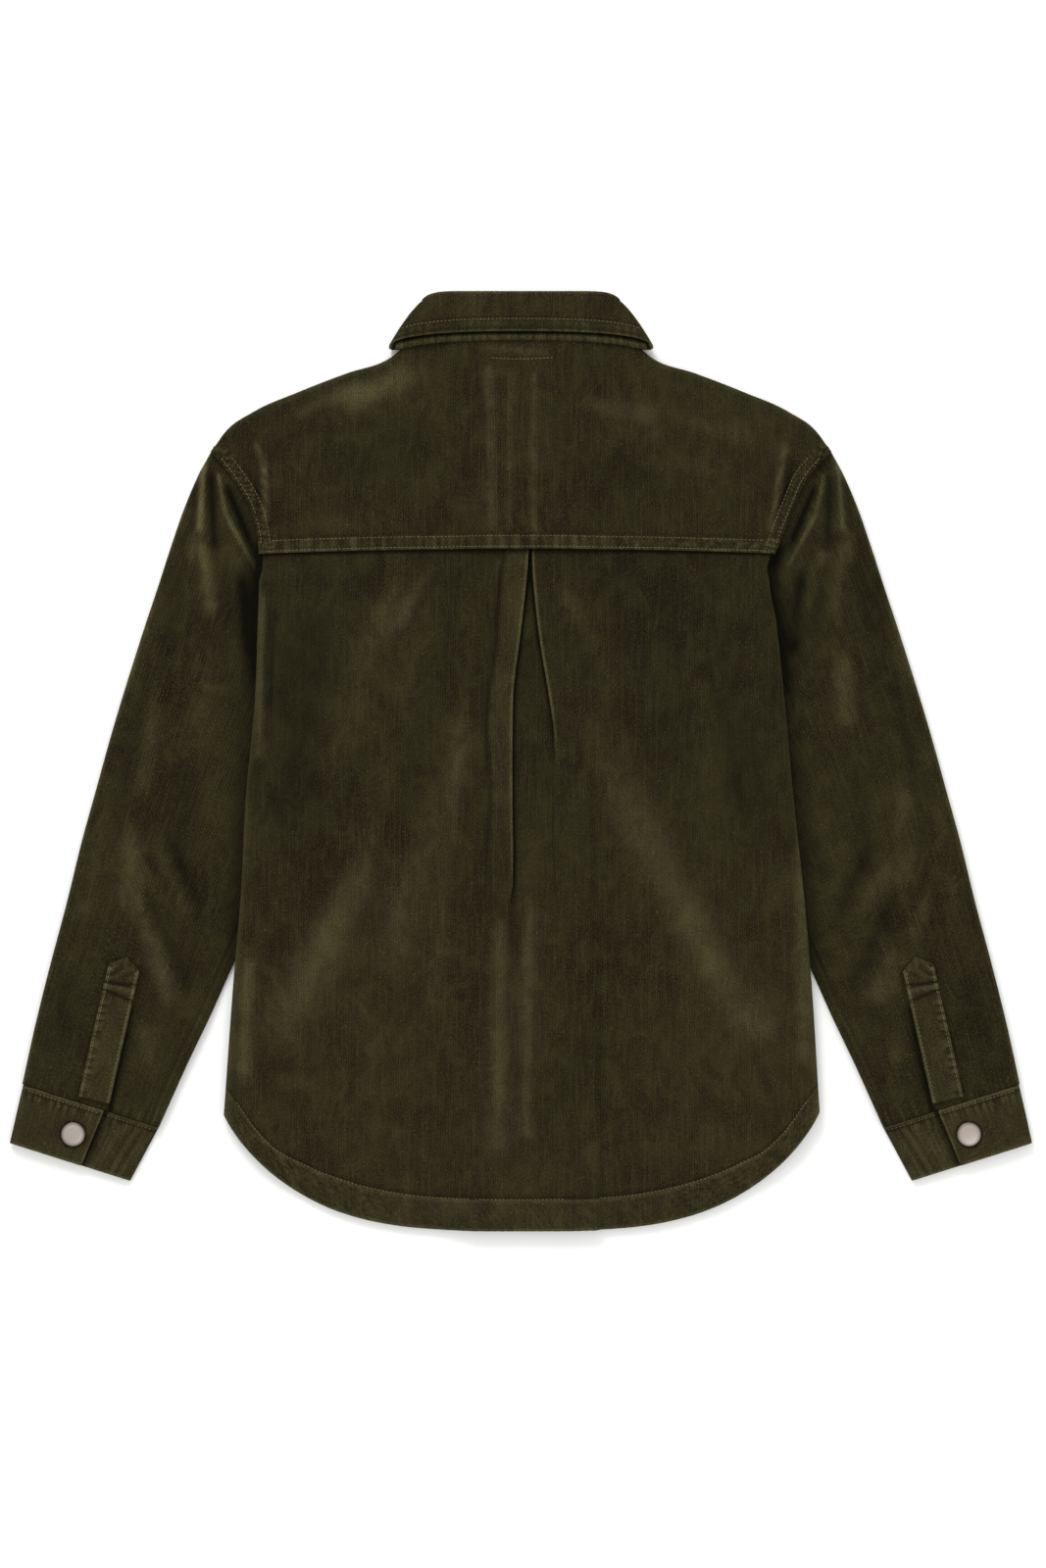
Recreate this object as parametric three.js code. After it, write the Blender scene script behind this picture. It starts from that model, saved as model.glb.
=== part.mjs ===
// A corduroy overshirt jacket laid out flat on its front, back side up.
// Millimetres, +Z up. +Y points to the collar, +X to the wearer's right sleeve.
// The origin is on the surface, under the middle of the garment's box.
import * as THREE from 'three';
import { mergeVertices } from 'three/addons/utils/BufferGeometryUtils.js';

// Driving dimensions
const CLOTH = 1.5;            // one layer of fine-wale corduroy
const COLLAR_CLOTH = 2.2;     // collar and cuffs are two layers with interlining
const SEAM_GAP = 0.3;
const LAYER_GAP = 1.8;        // loose space between the front and the back
const TUCK = 4.6;             // height of the flattened sleeve where the body lies over it
const RAMP = 50;              // width over which the front rises from the surface onto a sleeve
const ROLL = 5;               // radius of the soft fold along the body's edges
const HEM_Y = -268;           // where the side edge ends and the shirt-tail hem begins
const TAIL = 90.5;            // depth of the shirt-tail curve
const HEM_SIDE = 227;
const FRONT_HEM_RISE = 6;     // the front's hem lies this much higher than the back's
const SHOULDER_Y = 238;       // where the shoulder line meets the armhole
const SHOULDER_HALF = 237;
const YOKE_SEAM_Y = 158.5;    // at its ends, the middle is higher
const YOKE_SEAM_RISE = 4;
const YOKE_LAP = 5.5;
const PLEAT_REACH = 26;       // the pleat's stacked layers end this far outside its fold edges
const NECK_HALF = 80;
const NECK_Y = 327;           // neck seam at the centre back
const FRONT_NECK_DROP = 79;   // the neck seam lies this much lower at the centre front
const STAND_CLOTH = 2;
const STAND_FOOT_Y = 326.3;
const STAND_HEIGHT = 28.7;
const STAND_TOP_HALF = 72;
const STAND_FRONT_DROP = 12;  // the stand is this much lower in front
const CORNER_DROP = 5;        // the collar's top corners are rounded by this much
const FALL_HALF = 97;         // the collar's outer edge spreads to this half width
const FALL_EDGE_Y = 315;      // the outer edge beside the neck, higher at the centre back
const FALL_ARCH = 13;
const FALL_POINT_DROP = 100;  // from there the front points reach this much lower
const COLLAR_ROLL = 1.4;      // fullness of the roll over the stand
const COLLAR_OPENING = 0.2;   // turn left open to each side of the centre front, in radians
const COLLAR_FRONT_Z = 4.1;
const COLLAR_LIFT = 3.2;      // the collar leaves raise the fronts by this much
const PLACKET_HALF = 17;
const PLACKET_LIFT = 3.3;     // the placket raises the wearer's left front by this much
const SNAP_RADIUS = 9.2;
const SNAP_HEIGHT = 2.2;
const FRONT_SNAP_RADIUS = 7.5;
const FRONT_SNAP_HEIGHT = 1.2;
const FRONT_SNAP_COUNT = 7;
const FRONT_SNAP_TOP_Y = 222;
const FRONT_SNAP_PITCH = 84;
const CUFF_DEPTH = 46;
const CUFF_PLY_GAP = 0.4;     // between the cuff's layers
const CUFF_CROWN = 0.5;       // the cuff's upper layer is higher than its ends by this much
const CUFF_TAPER = 0.115;     // the lower edge is this much shorter, drawn in about CUFF_PIVOT
const CUFF_PIVOT = 0.3;
const SNAP_ACROSS = 0.455;    // the cuff snap's place as parts of the cuff's width and depth
const SNAP_DOWN = 0.54;
const SLEEVE_PLACKET_HALF = 12;

const CORDUROY = { color: 0x3a341e, roughness: 0.95, metalness: 0 };
const STEEL = { color: 0xb9b3aa, roughness: 0.35, metalness: 1 };

// Half width of the body by height, for the wearer's left (x < 0) and right side
const bodyEdge = [
  { y: 238, left: 237, right: 237 },
  { y: 218, left: 221, right: 219 },
  { y: 195, left: 207, right: 208 },
  { y: 172, left: 201, right: 199 },
  { y: 145, left: 200, right: 190 },
  { y: 110, left: 201, right: 195 },
  { y: 58, left: 203, right: 201 },
  { y: -15, left: 210, right: 208 },
  { y: -90, left: 214, right: 216 },
  { y: -150, left: 219, right: 221 },
  { y: -268, left: 227, right: 228 },
];

// Top edge of the yoke by distance from the centre: neck, shoulder, shoulder point
const shoulder = [
  { x: 0, y: 326 },
  { x: 60, y: 326 },
  { x: 84, y: 321 },
  { x: 102, y: 307.5 },
  { x: 133, y: 297 },
  { x: 172, y: 282 },
  { x: 206, y: 267 },
  { x: 227, y: 252 },
  { x: SHOULDER_HALF, y: SHOULDER_Y },
];

// How far in the sleeve reaches below the body, by height
const sleeveReach = [
  { y: 250, x: 100 },
  { y: 57, x: 100 },
  { y: -230, x: 225 },
];

// Sections across the sleeve from the outer to the inner edge, from shoulder to cuff
const sleeveRows = [
  { outX: 234, outY: 241, inX: 101, inY: 110, bulge: 22, puff: 4.6 },
  { outX: 246.5, outY: 217, inX: 113, inY: 88, bulge: 19, puff: 5.4 },
  { outX: 257, outY: 192, inX: 120, inY: 70, bulge: 15, puff: 6.1 },
  { outX: 267, outY: 163, inX: 128, inY: 50, bulge: 10, puff: 6.2 },
  { outX: 277, outY: 132, inX: 137, inY: 28, bulge: 5, puff: 6.2 },
  { outX: 287, outY: 102, inX: 146, inY: 8, bulge: 2, puff: 6.2 },
  { outX: 301, outY: 58, inX: 160, inY: -22, bulge: 0, puff: 6.2 },
  { outX: 313, outY: 18, inX: 174, inY: -54, bulge: 0, puff: 6.2 },
  { outX: 324, outY: -22, inX: 190, inY: -88, bulge: 0, puff: 6.2 },
  { outX: 335, outY: -62, inX: 205, inY: -122, bulge: 0, puff: 6.2 },
  { outX: 346, outY: -107, inX: 222, inY: -158, bulge: 0, puff: 6.2 },
  { outX: 358, outY: -152, inX: 238, inY: -194, bulge: 0, puff: 6.2 },
  { outX: 370, outY: -200, inX: 257, inY: -234, bulge: 0, puff: 6.2 },
  { outX: 380.2, outY: -246.4, inX: 277.2, inY: -279, bulge: 0, puff: 6.2 },
];

// Long soft folds: a ridge from one point to another with its half width and height
const backFolds = [
  { x1: -88, y1: 146, x2: -134, y2: 70, wide: 13, high: 2.6 },
  { x1: -70, y1: 125, x2: -120, y2: -75, wide: 15, high: 3.2 },
  { x1: -118, y1: -70, x2: -180, y2: -215, wide: 17, high: 3 },
  { x1: -34, y1: 130, x2: -68, y2: -195, wide: 10, high: 2.4 },
  { x1: 44, y1: 140, x2: 88, y2: -10, wide: 12, high: 2.8 },
  { x1: 86, y1: -5, x2: 150, y2: -175, wide: 15, high: 3.2 },
  { x1: 150, y1: -170, x2: 196, y2: -226, wide: 15, high: 2.2 },
  { x1: 130, y1: 90, x2: 160, y2: -60, wide: 14, high: 1.8 },
  { x1: -196, y1: 120, x2: -202, y2: 20, wide: 8, high: 1.6 },
];
const yokeFolds = [
  { x1: -202, y1: 243, x2: -194, y2: 182, wide: 8, high: 3.4 },
  { x1: 202, y1: 246, x2: 191, y2: 170, wide: 8, high: 3.4 },
  { x1: -75, y1: 297, x2: -148, y2: 262, wide: 16, high: 2 },
  { x1: 52, y1: 258, x2: 176, y2: 208, wide: 18, high: 2 },
];
const sleeveFolds = [
  { x1: 239, y1: 226, x2: 232, y2: 148, wide: 7, high: 4.2 },
  { x1: 230, y1: 220, x2: 207, y2: 150, wide: 6, high: 3.6 },
  { x1: 232, y1: 146, x2: 222, y2: 96, wide: 8, high: 3.4 },
  { x1: 274, y1: 73, x2: 292, y2: -32, wide: 11, high: 3 },
  { x1: 296, y1: -40, x2: 302, y2: -118, wide: 11, high: 2.6 },
  { x1: 300, y1: -95, x2: 262, y2: -180, wide: 9, high: 3 },
  { x1: 278, y1: -62, x2: 250, y2: -128, wide: 8, high: 2.6 },
  { x1: 330, y1: -100, x2: 352, y2: -196, wide: 9, high: 1.6 },
];

// The inverted pleat by height: its two fold edges, how deep it turns under, and how far it has opened
const pleatRows = [
  { y: 172, left: 6, right: 8.6, depth: 20, open: 0 },
  { y: 155, left: 5, right: 9, depth: 20, open: 0 },
  { y: 97, left: -1, right: 14.3, depth: 17, open: 0 },
  { y: 53, left: -6.4, right: 21.4, depth: 14, open: 0 },
  { y: 25, left: -7, right: 25.5, depth: 12, open: 0 },
  { y: -20, left: -7.2, right: 26, depth: 8, open: 0 },
  { y: -65, left: -6.6, right: 26, depth: 4, open: 0 },
  { y: -95, left: -6, right: 26, depth: 1, open: 0.1 },
  { y: -125, left: -6, right: 26, depth: 0.5, open: 0.6 },
  { y: -160, left: -8, right: 28, depth: 0, open: 1 },
  { y: -400, left: -12, right: 32, depth: 0, open: 1 },
];

const clamp = (value, low, high) => Math.min(high, Math.max(low, value));
const mix = (a, b, t) => a + (b - a) * t;
const smooth = (value) => {
  const t = clamp(value, 0, 1);
  return t * t * (3 - 2 * t);
};

// Reads one column of a table at a place along its key column, straight between rows
function read(table, key, place, column) {
  const rising = table[0][key] < table[table.length - 1][key];
  const rows = rising ? table : [...table].reverse();
  const at = clamp(place, rows[0][key], rows[rows.length - 1][key]);
  const next = Math.max(1, rows.findIndex((row) => row[key] >= at));
  const a = rows[next - 1];
  const b = rows[next];
  return mix(a[column], b[column], (at - a[key]) / (b[key] - a[key]));
}

const edgeAt = (y, side) => read(bodyEdge, 'y', y, side < 0 ? 'left' : 'right');
const shoulderY = (x) => read(shoulder, 'x', Math.abs(x), 'y');
const hemY = (part) => HEM_Y - TAIL * Math.pow(Math.max(0, 1 - Math.pow(Math.abs(part), 3.4)), 0.83);
const seamY = (x) => YOKE_SEAM_Y + YOKE_SEAM_RISE * (1 - Math.min(1, Math.pow(x / 200, 2)));
const frontNeckY = (x) => {
  const across = clamp(Math.abs(x) / NECK_HALF, 0, 1);
  return NECK_Y - FRONT_NECK_DROP * Math.pow(1 - across * across, 0.65);
};

// Height of a ridge at a point: a smooth hump across the line, fading out at both ends
function foldHeight(folds, x, y) {
  let height = 0;
  for (const fold of folds) {
    const dx = fold.x2 - fold.x1;
    const dy = fold.y2 - fold.y1;
    const length = Math.hypot(dx, dy);
    const along = ((x - fold.x1) * dx + (y - fold.y1) * dy) / length;
    const across = ((x - fold.x1) * dy - (y - fold.y1) * dx) / length;
    const fade = smooth((along + fold.wide) / (3 * fold.wide)) *
      smooth((length + fold.wide - along) / (3 * fold.wide));
    height += fold.high * fade * Math.exp(-Math.pow(across / fold.wide, 2));
  }
  return height;
}

// Underside of the front panels: on the surface, or on what lies between them and it
function frontBase(x, y, side) {
  const reach = read(sleeveReach, 'y', y, 'x');
  const onSleeve = TUCK * smooth((Math.abs(x) - reach + RAMP + 12) / RAMP);
  const leafZone = smooth((y - 150) / RAMP) * smooth((150 - Math.abs(x)) / RAMP);
  const onCollar = COLLAR_LIFT * leafZone;
  const lap = side < 0 ? PLACKET_LIFT : FRONT_SNAP_HEIGHT + SEAM_GAP;
  const onPlacket = lap * smooth((PLACKET_HALF + 42 - Math.abs(x)) / 30);
  return Math.max(onSleeve, onCollar, onPlacket);
}

// Middle of the back's cloth, above the front panels
function backMiddle(x, y) {
  const base = Math.max(frontBase(x, y, -1), frontBase(x, y, 1) * (x > 0 ? 1 : 0));
  const centre = 2.1 * smooth((75 - Math.abs(x)) / 35);
  const side = edgeAt(y, x);
  const loft = 3 * smooth((Math.abs(x) - side + 60) / 40) * smooth((170 - y) / 40);
  return base + CLOTH * 1.5 + LAYER_GAP + centre + loft * smooth((y - HEM_Y + 20) / 70);
}

// Closed solid of a wall: two faces half a thickness to each side of a grid of middle points
function wall(grid, thickness, ring = false) {
  const rows = grid.length;
  const cols = grid[0].length;
  const at = (i, j) => grid[clamp(i, 0, rows - 1)][ring ? (j + cols) % cols : clamp(j, 0, cols - 1)];
  const points = [];
  for (const side of [0.5, -0.5]) {
    for (let i = 0; i < rows; i++) {
      for (let j = 0; j < cols; j++) {
        const down = at(i + 1, j).clone().sub(at(i - 1, j));
        const before = at(i, j).clone().sub(at(i, j - 1)).normalize();
        const after = at(i, j + 1).clone().sub(at(i, j)).normalize();
        const normal = before.add(after).cross(down).normalize();
        points.push(at(i, j).clone().addScaledVector(normal, side * thickness));
      }
    }
  }
  const index = [];
  const id = (side, i, j) => side * rows * cols + i * cols + (j % cols);
  const quad = (a, b, c, d) => index.push(a, b, c, a, c, d);
  const spans = ring ? cols : cols - 1;
  for (let i = 0; i < rows - 1; i++) {
    for (let j = 0; j < spans; j++) {
      quad(id(0, i, j), id(0, i + 1, j), id(0, i + 1, j + 1), id(0, i, j + 1));
      quad(id(1, i, j), id(1, i, j + 1), id(1, i + 1, j + 1), id(1, i + 1, j));
    }
  }
  for (let j = 0; j < spans; j++) {
    quad(id(0, 0, j), id(0, 0, j + 1), id(1, 0, j + 1), id(1, 0, j));
    quad(id(0, rows - 1, j + 1), id(0, rows - 1, j), id(1, rows - 1, j), id(1, rows - 1, j + 1));
  }
  if (!ring) {
    for (let i = 0; i < rows - 1; i++) {
      quad(id(0, i + 1, 0), id(0, i, 0), id(1, i, 0), id(1, i + 1, 0));
      quad(id(0, i, cols - 1), id(0, i + 1, cols - 1), id(1, i + 1, cols - 1), id(1, i, cols - 1));
    }
  }
  return solid(points, index);
}

// A geometry whose faces point out, from points and triangles
function solid(points, index) {
  let volume = 0;
  for (let k = 0; k < index.length; k += 3) {
    const [a, b, c] = [points[index[k]], points[index[k + 1]], points[index[k + 2]]];
    volume += a.dot(b.clone().cross(c));
  }
  if (volume < 0) {
    index.reverse();
  }
  const geometry = new THREE.BufferGeometry();
  geometry.setAttribute('position', new THREE.Float32BufferAttribute(points.flatMap((p) => p.toArray()), 3));
  geometry.setIndex(index);
  return mergeVertices(geometry, 1e-4);
}

const jacket = new THREE.Group();
jacket.name = 'corduroy_jacket';

function add(name, geometry, look = CORDUROY) {
  const mesh = new THREE.Mesh(geometry, new THREE.MeshStandardMaterial(look));
  mesh.name = name;
  jacket.add(mesh);
  return mesh;
}

const steps = (count) => Array.from({ length: count + 1 }, (unused, k) => k / count);

// Distance in from the edge and drop below the flat part, down the rolled edge of the body
const rollProfile = [
  { inset: 0, drop: 1 },
  { inset: 0, drop: 0.5 },
  { inset: 0.25, drop: 0.2 },
  { inset: 0.9, drop: 0 },
];

// One end of a row, at height sideY, with the roll folded down to the front panel's level
function rolledEnds(xEdge, sideY, heightAt, rowY = () => sideY) {
  return rollProfile.map((step) => {
    const x = xEdge - Math.sign(xEdge) * step.inset * ROLL;
    const y = rowY(x);
    const top = heightAt(xEdge - Math.sign(xEdge) * ROLL, sideY);
    const low = frontBase(xEdge, sideY, Math.sign(xEdge)) + CLOTH / 2;
    return new THREE.Vector3(x, y, mix(top, low, step.drop));
  });
}

// The pleat's section as steps across: along the row, and layers up or down
function pleatPath(row) {
  const fold = (CLOTH + 0.4) / 2;
  const under = row.depth + fold;
  const halves = [
    { at: -PLEAT_REACH, level: 0 }, { at: -14, level: 1 }, { at: -fold, level: 1 }, { at: 0, level: 0.5 },
    { at: -fold, level: 0 }, { at: -under, level: 0 }, { at: -under - fold, level: -0.5 },
    { at: -under, level: -1 }, { at: 0, level: -1 },
  ];
  const left = halves.map((p) => ({ x: row.left + p.at, z: p.level * 2 * fold }));
  const right = halves.map((p) => ({ x: row.right - p.at, z: p.level * 2 * fold })).reverse();
  const path = [...left, ...right];
  return path.map((p, k) => ({
    x: mix(p.x, mix(row.left - PLEAT_REACH, row.right + PLEAT_REACH, k / (path.length - 1)), row.open),
    z: mix(p.z, 0, row.open),
  }));
}

// Back panel: from under the yoke to the shirt-tail hem
function backPanel() {
  const outward = [0.97, 0.9, 0.8, 0.7, 0.6, 0.5, 0.4, 0.3];
  const top = YOKE_SEAM_Y + YOKE_LAP;
  const height = (x, y) => backMiddle(x, y) + foldHeight(backFolds, x, y);
  const grid = steps(20).map((v) => {
    const sideY = mix(top, HEM_Y, v);
    const rowY = (part) => mix(seamY(part * HEM_SIDE) + YOKE_LAP, hemY(part), v);
    const middleY = rowY(0);
    const pleatRow = Object.fromEntries(['left', 'right', 'depth', 'open'].map(
      (column) => [column, read(pleatRows, 'y', middleY, column)]));
    const flatten = smooth((middleY + 330) / 60);
    const half = (side) => {
      const underYoke = 2.9 * smooth((sideY - YOKE_SEAM_Y + 20) / 12);
      const edge = side * (edgeAt(sideY, side) - CLOTH / 2 - underYoke);
      const ends = rolledEnds(edge, sideY, height, (x) => rowY(Math.min(1, Math.abs(x) / HEM_SIDE)));
      const start = side < 0 ? pleatRow.left - PLEAT_REACH : pleatRow.right + PLEAT_REACH;
      const inner = outward.map((part) => {
        const x = mix(start, edge - side * ROLL, (part - 0.22) / 0.78);
        const y = rowY(x / HEM_SIDE);
        return new THREE.Vector3(x, y, height(x, y));
      });
      return [...ends, ...inner];
    };
    const pleat = pleatPath(pleatRow).map((p) => {
      const y = rowY(p.x / HEM_SIDE);
      return new THREE.Vector3(p.x, y, backMiddle(0, y) + p.z + flatten * foldHeight(backFolds, p.x, y) * 0.5);
    });
    return [...half(-1), ...pleat, ...half(1).reverse()];
  });
  return wall(grid, CLOTH);
}

// Yoke: from the neck seam and the shoulders to its double-stitched seam on the back
const yokeSpread = [0.96, 0.9, 0.82, 0.72, 0.6, 0.48, 0.36, 0.24, 0.12];
function yokeHeight(x, y) {
  const overBack = 2.3 * smooth((seamY(x) + YOKE_LAP + 7 - y) / 5);
  const overPleat = 3 * smooth((62 - Math.abs(x - 7)) / 26) * smooth((YOKE_SEAM_Y + 50 - y) / 50);
  return backMiddle(x, y) + 0.2 + overBack + overPleat + foldHeight(yokeFolds, x, y);
}
function yoke() {
  const levels = [0, 0.06, 0.12, 0.17, 0.26, 0.38, 0.5, 0.62, 0.74, 0.86, 0.95];
  const rowFor = (v, drop) => {
    const sideY = mix(YOKE_SEAM_Y, SHOULDER_Y, v);
    const columns = [];
    for (const side of [-1, 1]) {
      const edge = side * (edgeAt(sideY, side) - CLOTH / 2 + 0.2);
      const topAt = (x) => shoulderY(x * SHOULDER_HALF / Math.abs(edge)) - CLOTH / 2;
      const rowY = (x) => mix(seamY(x), topAt(x), v);
      const ends = rolledEnds(edge, sideY, yokeHeight, rowY);
      const inner = yokeSpread.map((part) => {
        const x = part * (edge - side * ROLL);
        return new THREE.Vector3(x, rowY(x), yokeHeight(x, rowY(x)));
      });
      const half = [...ends, ...inner];
      columns.push(side < 0 ? half : half.reverse());
    }
    const topY = shoulderY(0) - CLOTH / 2;
    const middle = mix(seamY(0), topY, v);
    const row = [...columns[0], new THREE.Vector3(0, middle, yokeHeight(0, middle)), ...columns[1]];
    return row.map((p) => {
      const onShoulder = smooth((Math.abs(p.x) - 88) / 12);
      const floor = frontBase(p.x, p.y, Math.sign(p.x) || 1) + CLOTH / 2;
      return new THREE.Vector3(p.x, p.y, mix(p.z, Math.min(p.z, floor), drop * onShoulder));
    });
  };
  const grid = levels.map((v) => rowFor(v, 0));
  grid.push(rowFor(0.975, 0));
  grid.push(rowFor(0.993, 0.2));
  grid.push(rowFor(1, 0.5));
  const rim = rowFor(1, 1).map((p) => p.clone().setY(p.y + 0.4));
  grid.push(rim);
  return wall(grid, CLOTH);
}

// Front panel of one side, face down below the back
function frontPanel(side) {
  const inset = CLOTH * 1.5 + SEAM_GAP + 0.6;
  const middleX = side < 0 ? 14 : PLACKET_HALF + 0.6;
  const parts = steps(13);
  const grid = steps(22).map((v) => parts.map((part) => {
    const sideY = mix(SHOULDER_Y - 5, HEM_Y + FRONT_HEM_RISE, v);
    const outer = edgeAt(sideY, side) - inset - 6 * smooth((sideY - 120) / 30);
    const x = mix(middleX, side * outer, part);
    const across = Math.abs(x) / outer;
    const shoulderTop = shoulderY(x * SHOULDER_HALF / outer);
    const neck = Math.abs(x) < NECK_HALF ? frontNeckY(x) : shoulderTop;
    const topY = Math.min(neck - 6, shoulderTop) - inset - 1.5;
    const y = mix(topY, hemY(across) + FRONT_HEM_RISE, v);
    return new THREE.Vector3(x, y, frontBase(x, y, side) + CLOTH / 2);
  }));
  return wall(grid, CLOTH);
}

// Front placket, the lowest strip along the centre of the front
function frontPlacket() {
  const top = NECK_Y - FRONT_NECK_DROP - 6;
  const bottom = HEM_Y - TAIL + FRONT_HEM_RISE;
  const middle = FRONT_SNAP_HEIGHT + SEAM_GAP + CLOTH / 2;
  const grid = steps(12).map((v) => steps(4).map((part) => new THREE.Vector3(
    mix(-PLACKET_HALF, PLACKET_HALF, part), mix(top, bottom, v), middle)));
  return wall(grid, CLOTH);
}

// Top of the sleeve's upper layer, low under the body and full beside it
function sleeveHeight(x, y, puff) {
  const edge = edgeAt(y, -1);
  const clear = y > 246 ? 1 : smooth((x - edge - 9) / 18);
  const low = TUCK - SEAM_GAP - CLOTH / 2 - 0.15;
  return mix(low, puff + foldHeight(sleeveFolds, x, y), clear);
}

// One ring across the sleeve: flat below, rounded at both edges
function sleeveRing(row, side) {
  const count = 26;
  return Array.from({ length: count }, (unused, k) => {
    const turn = k * Math.PI * 2 / count;
    const part = 0.5 - 0.5 * Math.sign(Math.cos(turn)) * Math.pow(Math.abs(Math.cos(turn)), 0.8);
    const rise = Math.sin(turn);
    const round = Math.sqrt(1 - Math.pow(1 - Math.min(1, Math.abs(rise) / 0.42), 2));
    const bend = row.bulge * Math.pow(Math.sin(Math.PI * Math.pow(part, 1.4)), 2);
    const x = mix(row.outX, row.inX, part) + bend * 0.715;
    const y = mix(row.outY, row.inY, part) - bend * 0.699;
    const high = sleeveHeight(x, y, row.puff);
    const centre = (high + CLOTH / 2) / 2;
    const z = centre + (rise >= 0 ? (high - centre) : -(centre - CLOTH / 2)) * round;
    return new THREE.Vector3(side * x, y, z);
  });
}

function sleeve(side) {
  const rows = [];
  for (let k = 0; k < sleeveRows.length - 1; k++) {
    for (const t of k < 4 ? [0, 0.5] : [0]) {
      const row = {};
      for (const column of Object.keys(sleeveRows[0])) {
        row[column] = mix(sleeveRows[k][column], sleeveRows[k + 1][column], t);
      }
      rows.push(row);
    }
  }
  rows.push(sleeveRows[sleeveRows.length - 1]);
  return wall(rows.map((row) => sleeveRing(row, side)), CLOTH, true);
}

// Cuff and sleeve end share one frame: across the sleeve and along it
const wrist = sleeveRows[sleeveRows.length - 1];
const cuffOut = new THREE.Vector3(wrist.outX, wrist.outY, 0);
const cuffIn = new THREE.Vector3(wrist.inX, wrist.inY, 0);
const cuffAcross = cuffIn.clone().sub(cuffOut);
const cuffWidth = cuffAcross.length();
cuffAcross.normalize();
const cuffDown = new THREE.Vector3(-cuffAcross.y, cuffAcross.x, 0);

// A cuff is one band: it starts below the overlap, runs round the wrist and ends on top
function cuffPath() {
  const layer = COLLAR_CLOTH + CUFF_PLY_GAP;
  const low = COLLAR_CLOTH / 2;
  const inner = low + layer;
  const outer = low + 2 * layer;
  const radius = COLLAR_CLOTH / 2 + 0.2;
  return [
    { across: 0.42 * cuffWidth, z: inner }, { across: 0.7 * cuffWidth, z: inner + 0.6 },
    { across: cuffWidth - 5, z: inner + 0.4 }, { across: cuffWidth - 1.6, z: inner - 0.4 },
    { across: cuffWidth - radius * 0.4, z: (inner + low) / 2 }, { across: cuffWidth - 1.8, z: low + 0.35 },
    { across: cuffWidth - 5, z: low }, { across: 0.5 * cuffWidth, z: low }, { across: 5, z: low },
    { across: 2.2, z: low + 0.5 }, { across: 1.1, z: low + 2 }, { across: 1.1, z: outer - 1.6 },
    { across: 2.6, z: outer - 0.3 }, { across: 8, z: outer + 0.3 }, { across: 0.3 * cuffWidth, z: outer + CUFF_CROWN },
    { across: 0.5 * cuffWidth, z: outer + 0.2 }, { across: 0.6 * cuffWidth, z: outer },
  ];
}

function cuffPoint(across, down, z, side) {
  const p = cuffOut.clone().addScaledVector(cuffAcross, across).addScaledVector(cuffDown, down);
  return new THREE.Vector3(side * p.x, p.y, z);
}

function cuff(side) {
  const grid = steps(4).map((t) => {
    const down = mix(SEAM_GAP + 0.2, CUFF_DEPTH, t);
    return cuffPath().map((p) => cuffPoint(mix(p.across, CUFF_PIVOT * cuffWidth, CUFF_TAPER * t), down, p.z, side));
  });
  return wall(grid, COLLAR_CLOTH);
}

// Sleeve placket with a pointed top, laid on the sleeve's upper layer
const placketTop = { x: 303, y: -158 };
const placketEnd = { x: 326.5, y: -261.5 };
function sleevePlacket(side) {
  const length = Math.hypot(placketEnd.x - placketTop.x, placketEnd.y - placketTop.y);
  const alongX = (placketEnd.x - placketTop.x) / length;
  const alongY = (placketEnd.y - placketTop.y) / length;
  const grid = [-0.08, 0, 0.06, 0.14, 0.26, 0.4, 0.55, 0.7, 0.85, 0.97].map((t) => steps(4).map((part) => {
    const across = (part - 0.5) * 2;
    const pointed = t < 0 ? 1 - Math.abs(across) : 0;
    const along = (t < 0 ? 0 : t) * length - pointed * SLEEVE_PLACKET_HALF * 0.75 - (t < 0 ? 0.5 : 0);
    const x = placketTop.x + alongX * along + alongY * across * SLEEVE_PLACKET_HALF;
    const y = placketTop.y + alongY * along - alongX * across * SLEEVE_PLACKET_HALF;
    const z = sleeveHeight(x, y, read(sleeveRows, 'outY', y + 14, 'puff')) + CLOTH + 1.1;
    return new THREE.Vector3(side * x, y, z);
  }));
  return wall(grid, CLOTH);
}

const collarBackZ = backMiddle(0, NECK_Y) + 0.6;

// Collar ring: a flattened loop round the neck, from the centre front round the back
function collarRing(turn, half, off) {
  const across = Math.sin(turn);
  const x = (half + off) * Math.sign(across) * Math.pow(Math.abs(across), 0.8);
  const level = -Math.cos(turn);
  const round = Math.sqrt(1 - Math.pow(1 - Math.min(1, Math.abs(level) / 0.3), 2));
  const middle = (COLLAR_FRONT_Z + collarBackZ) / 2;
  const z = middle + Math.sign(level) * round * ((collarBackZ - COLLAR_FRONT_Z) / 2 + off);
  return { x, z, front: Math.max(0, -level), back: Math.max(0, level) };
}

const collarTurns = (count) => steps(count).map(
  (t) => mix(COLLAR_OPENING, 2 * Math.PI - COLLAR_OPENING, t));

const cornerDrop = (turn) => CORNER_DROP * Math.pow(Math.abs(Math.sin(turn)), 10);

function collarStand() {
  const grid = steps(3).map((v) => collarTurns(28).map((turn) => {
    const p = collarRing(turn, mix(NECK_HALF, STAND_TOP_HALF, v), 0);
    const neck = STAND_FOOT_Y - FRONT_NECK_DROP * Math.pow(p.front, 1.3);
    const top = neck + STAND_HEIGHT - STAND_FRONT_DROP * Math.pow(p.front, 0.3) - cornerDrop(turn);
    return new THREE.Vector3(p.x, mix(neck, top, v), p.z);
  }));
  return wall(grid, STAND_CLOTH);
}

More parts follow.
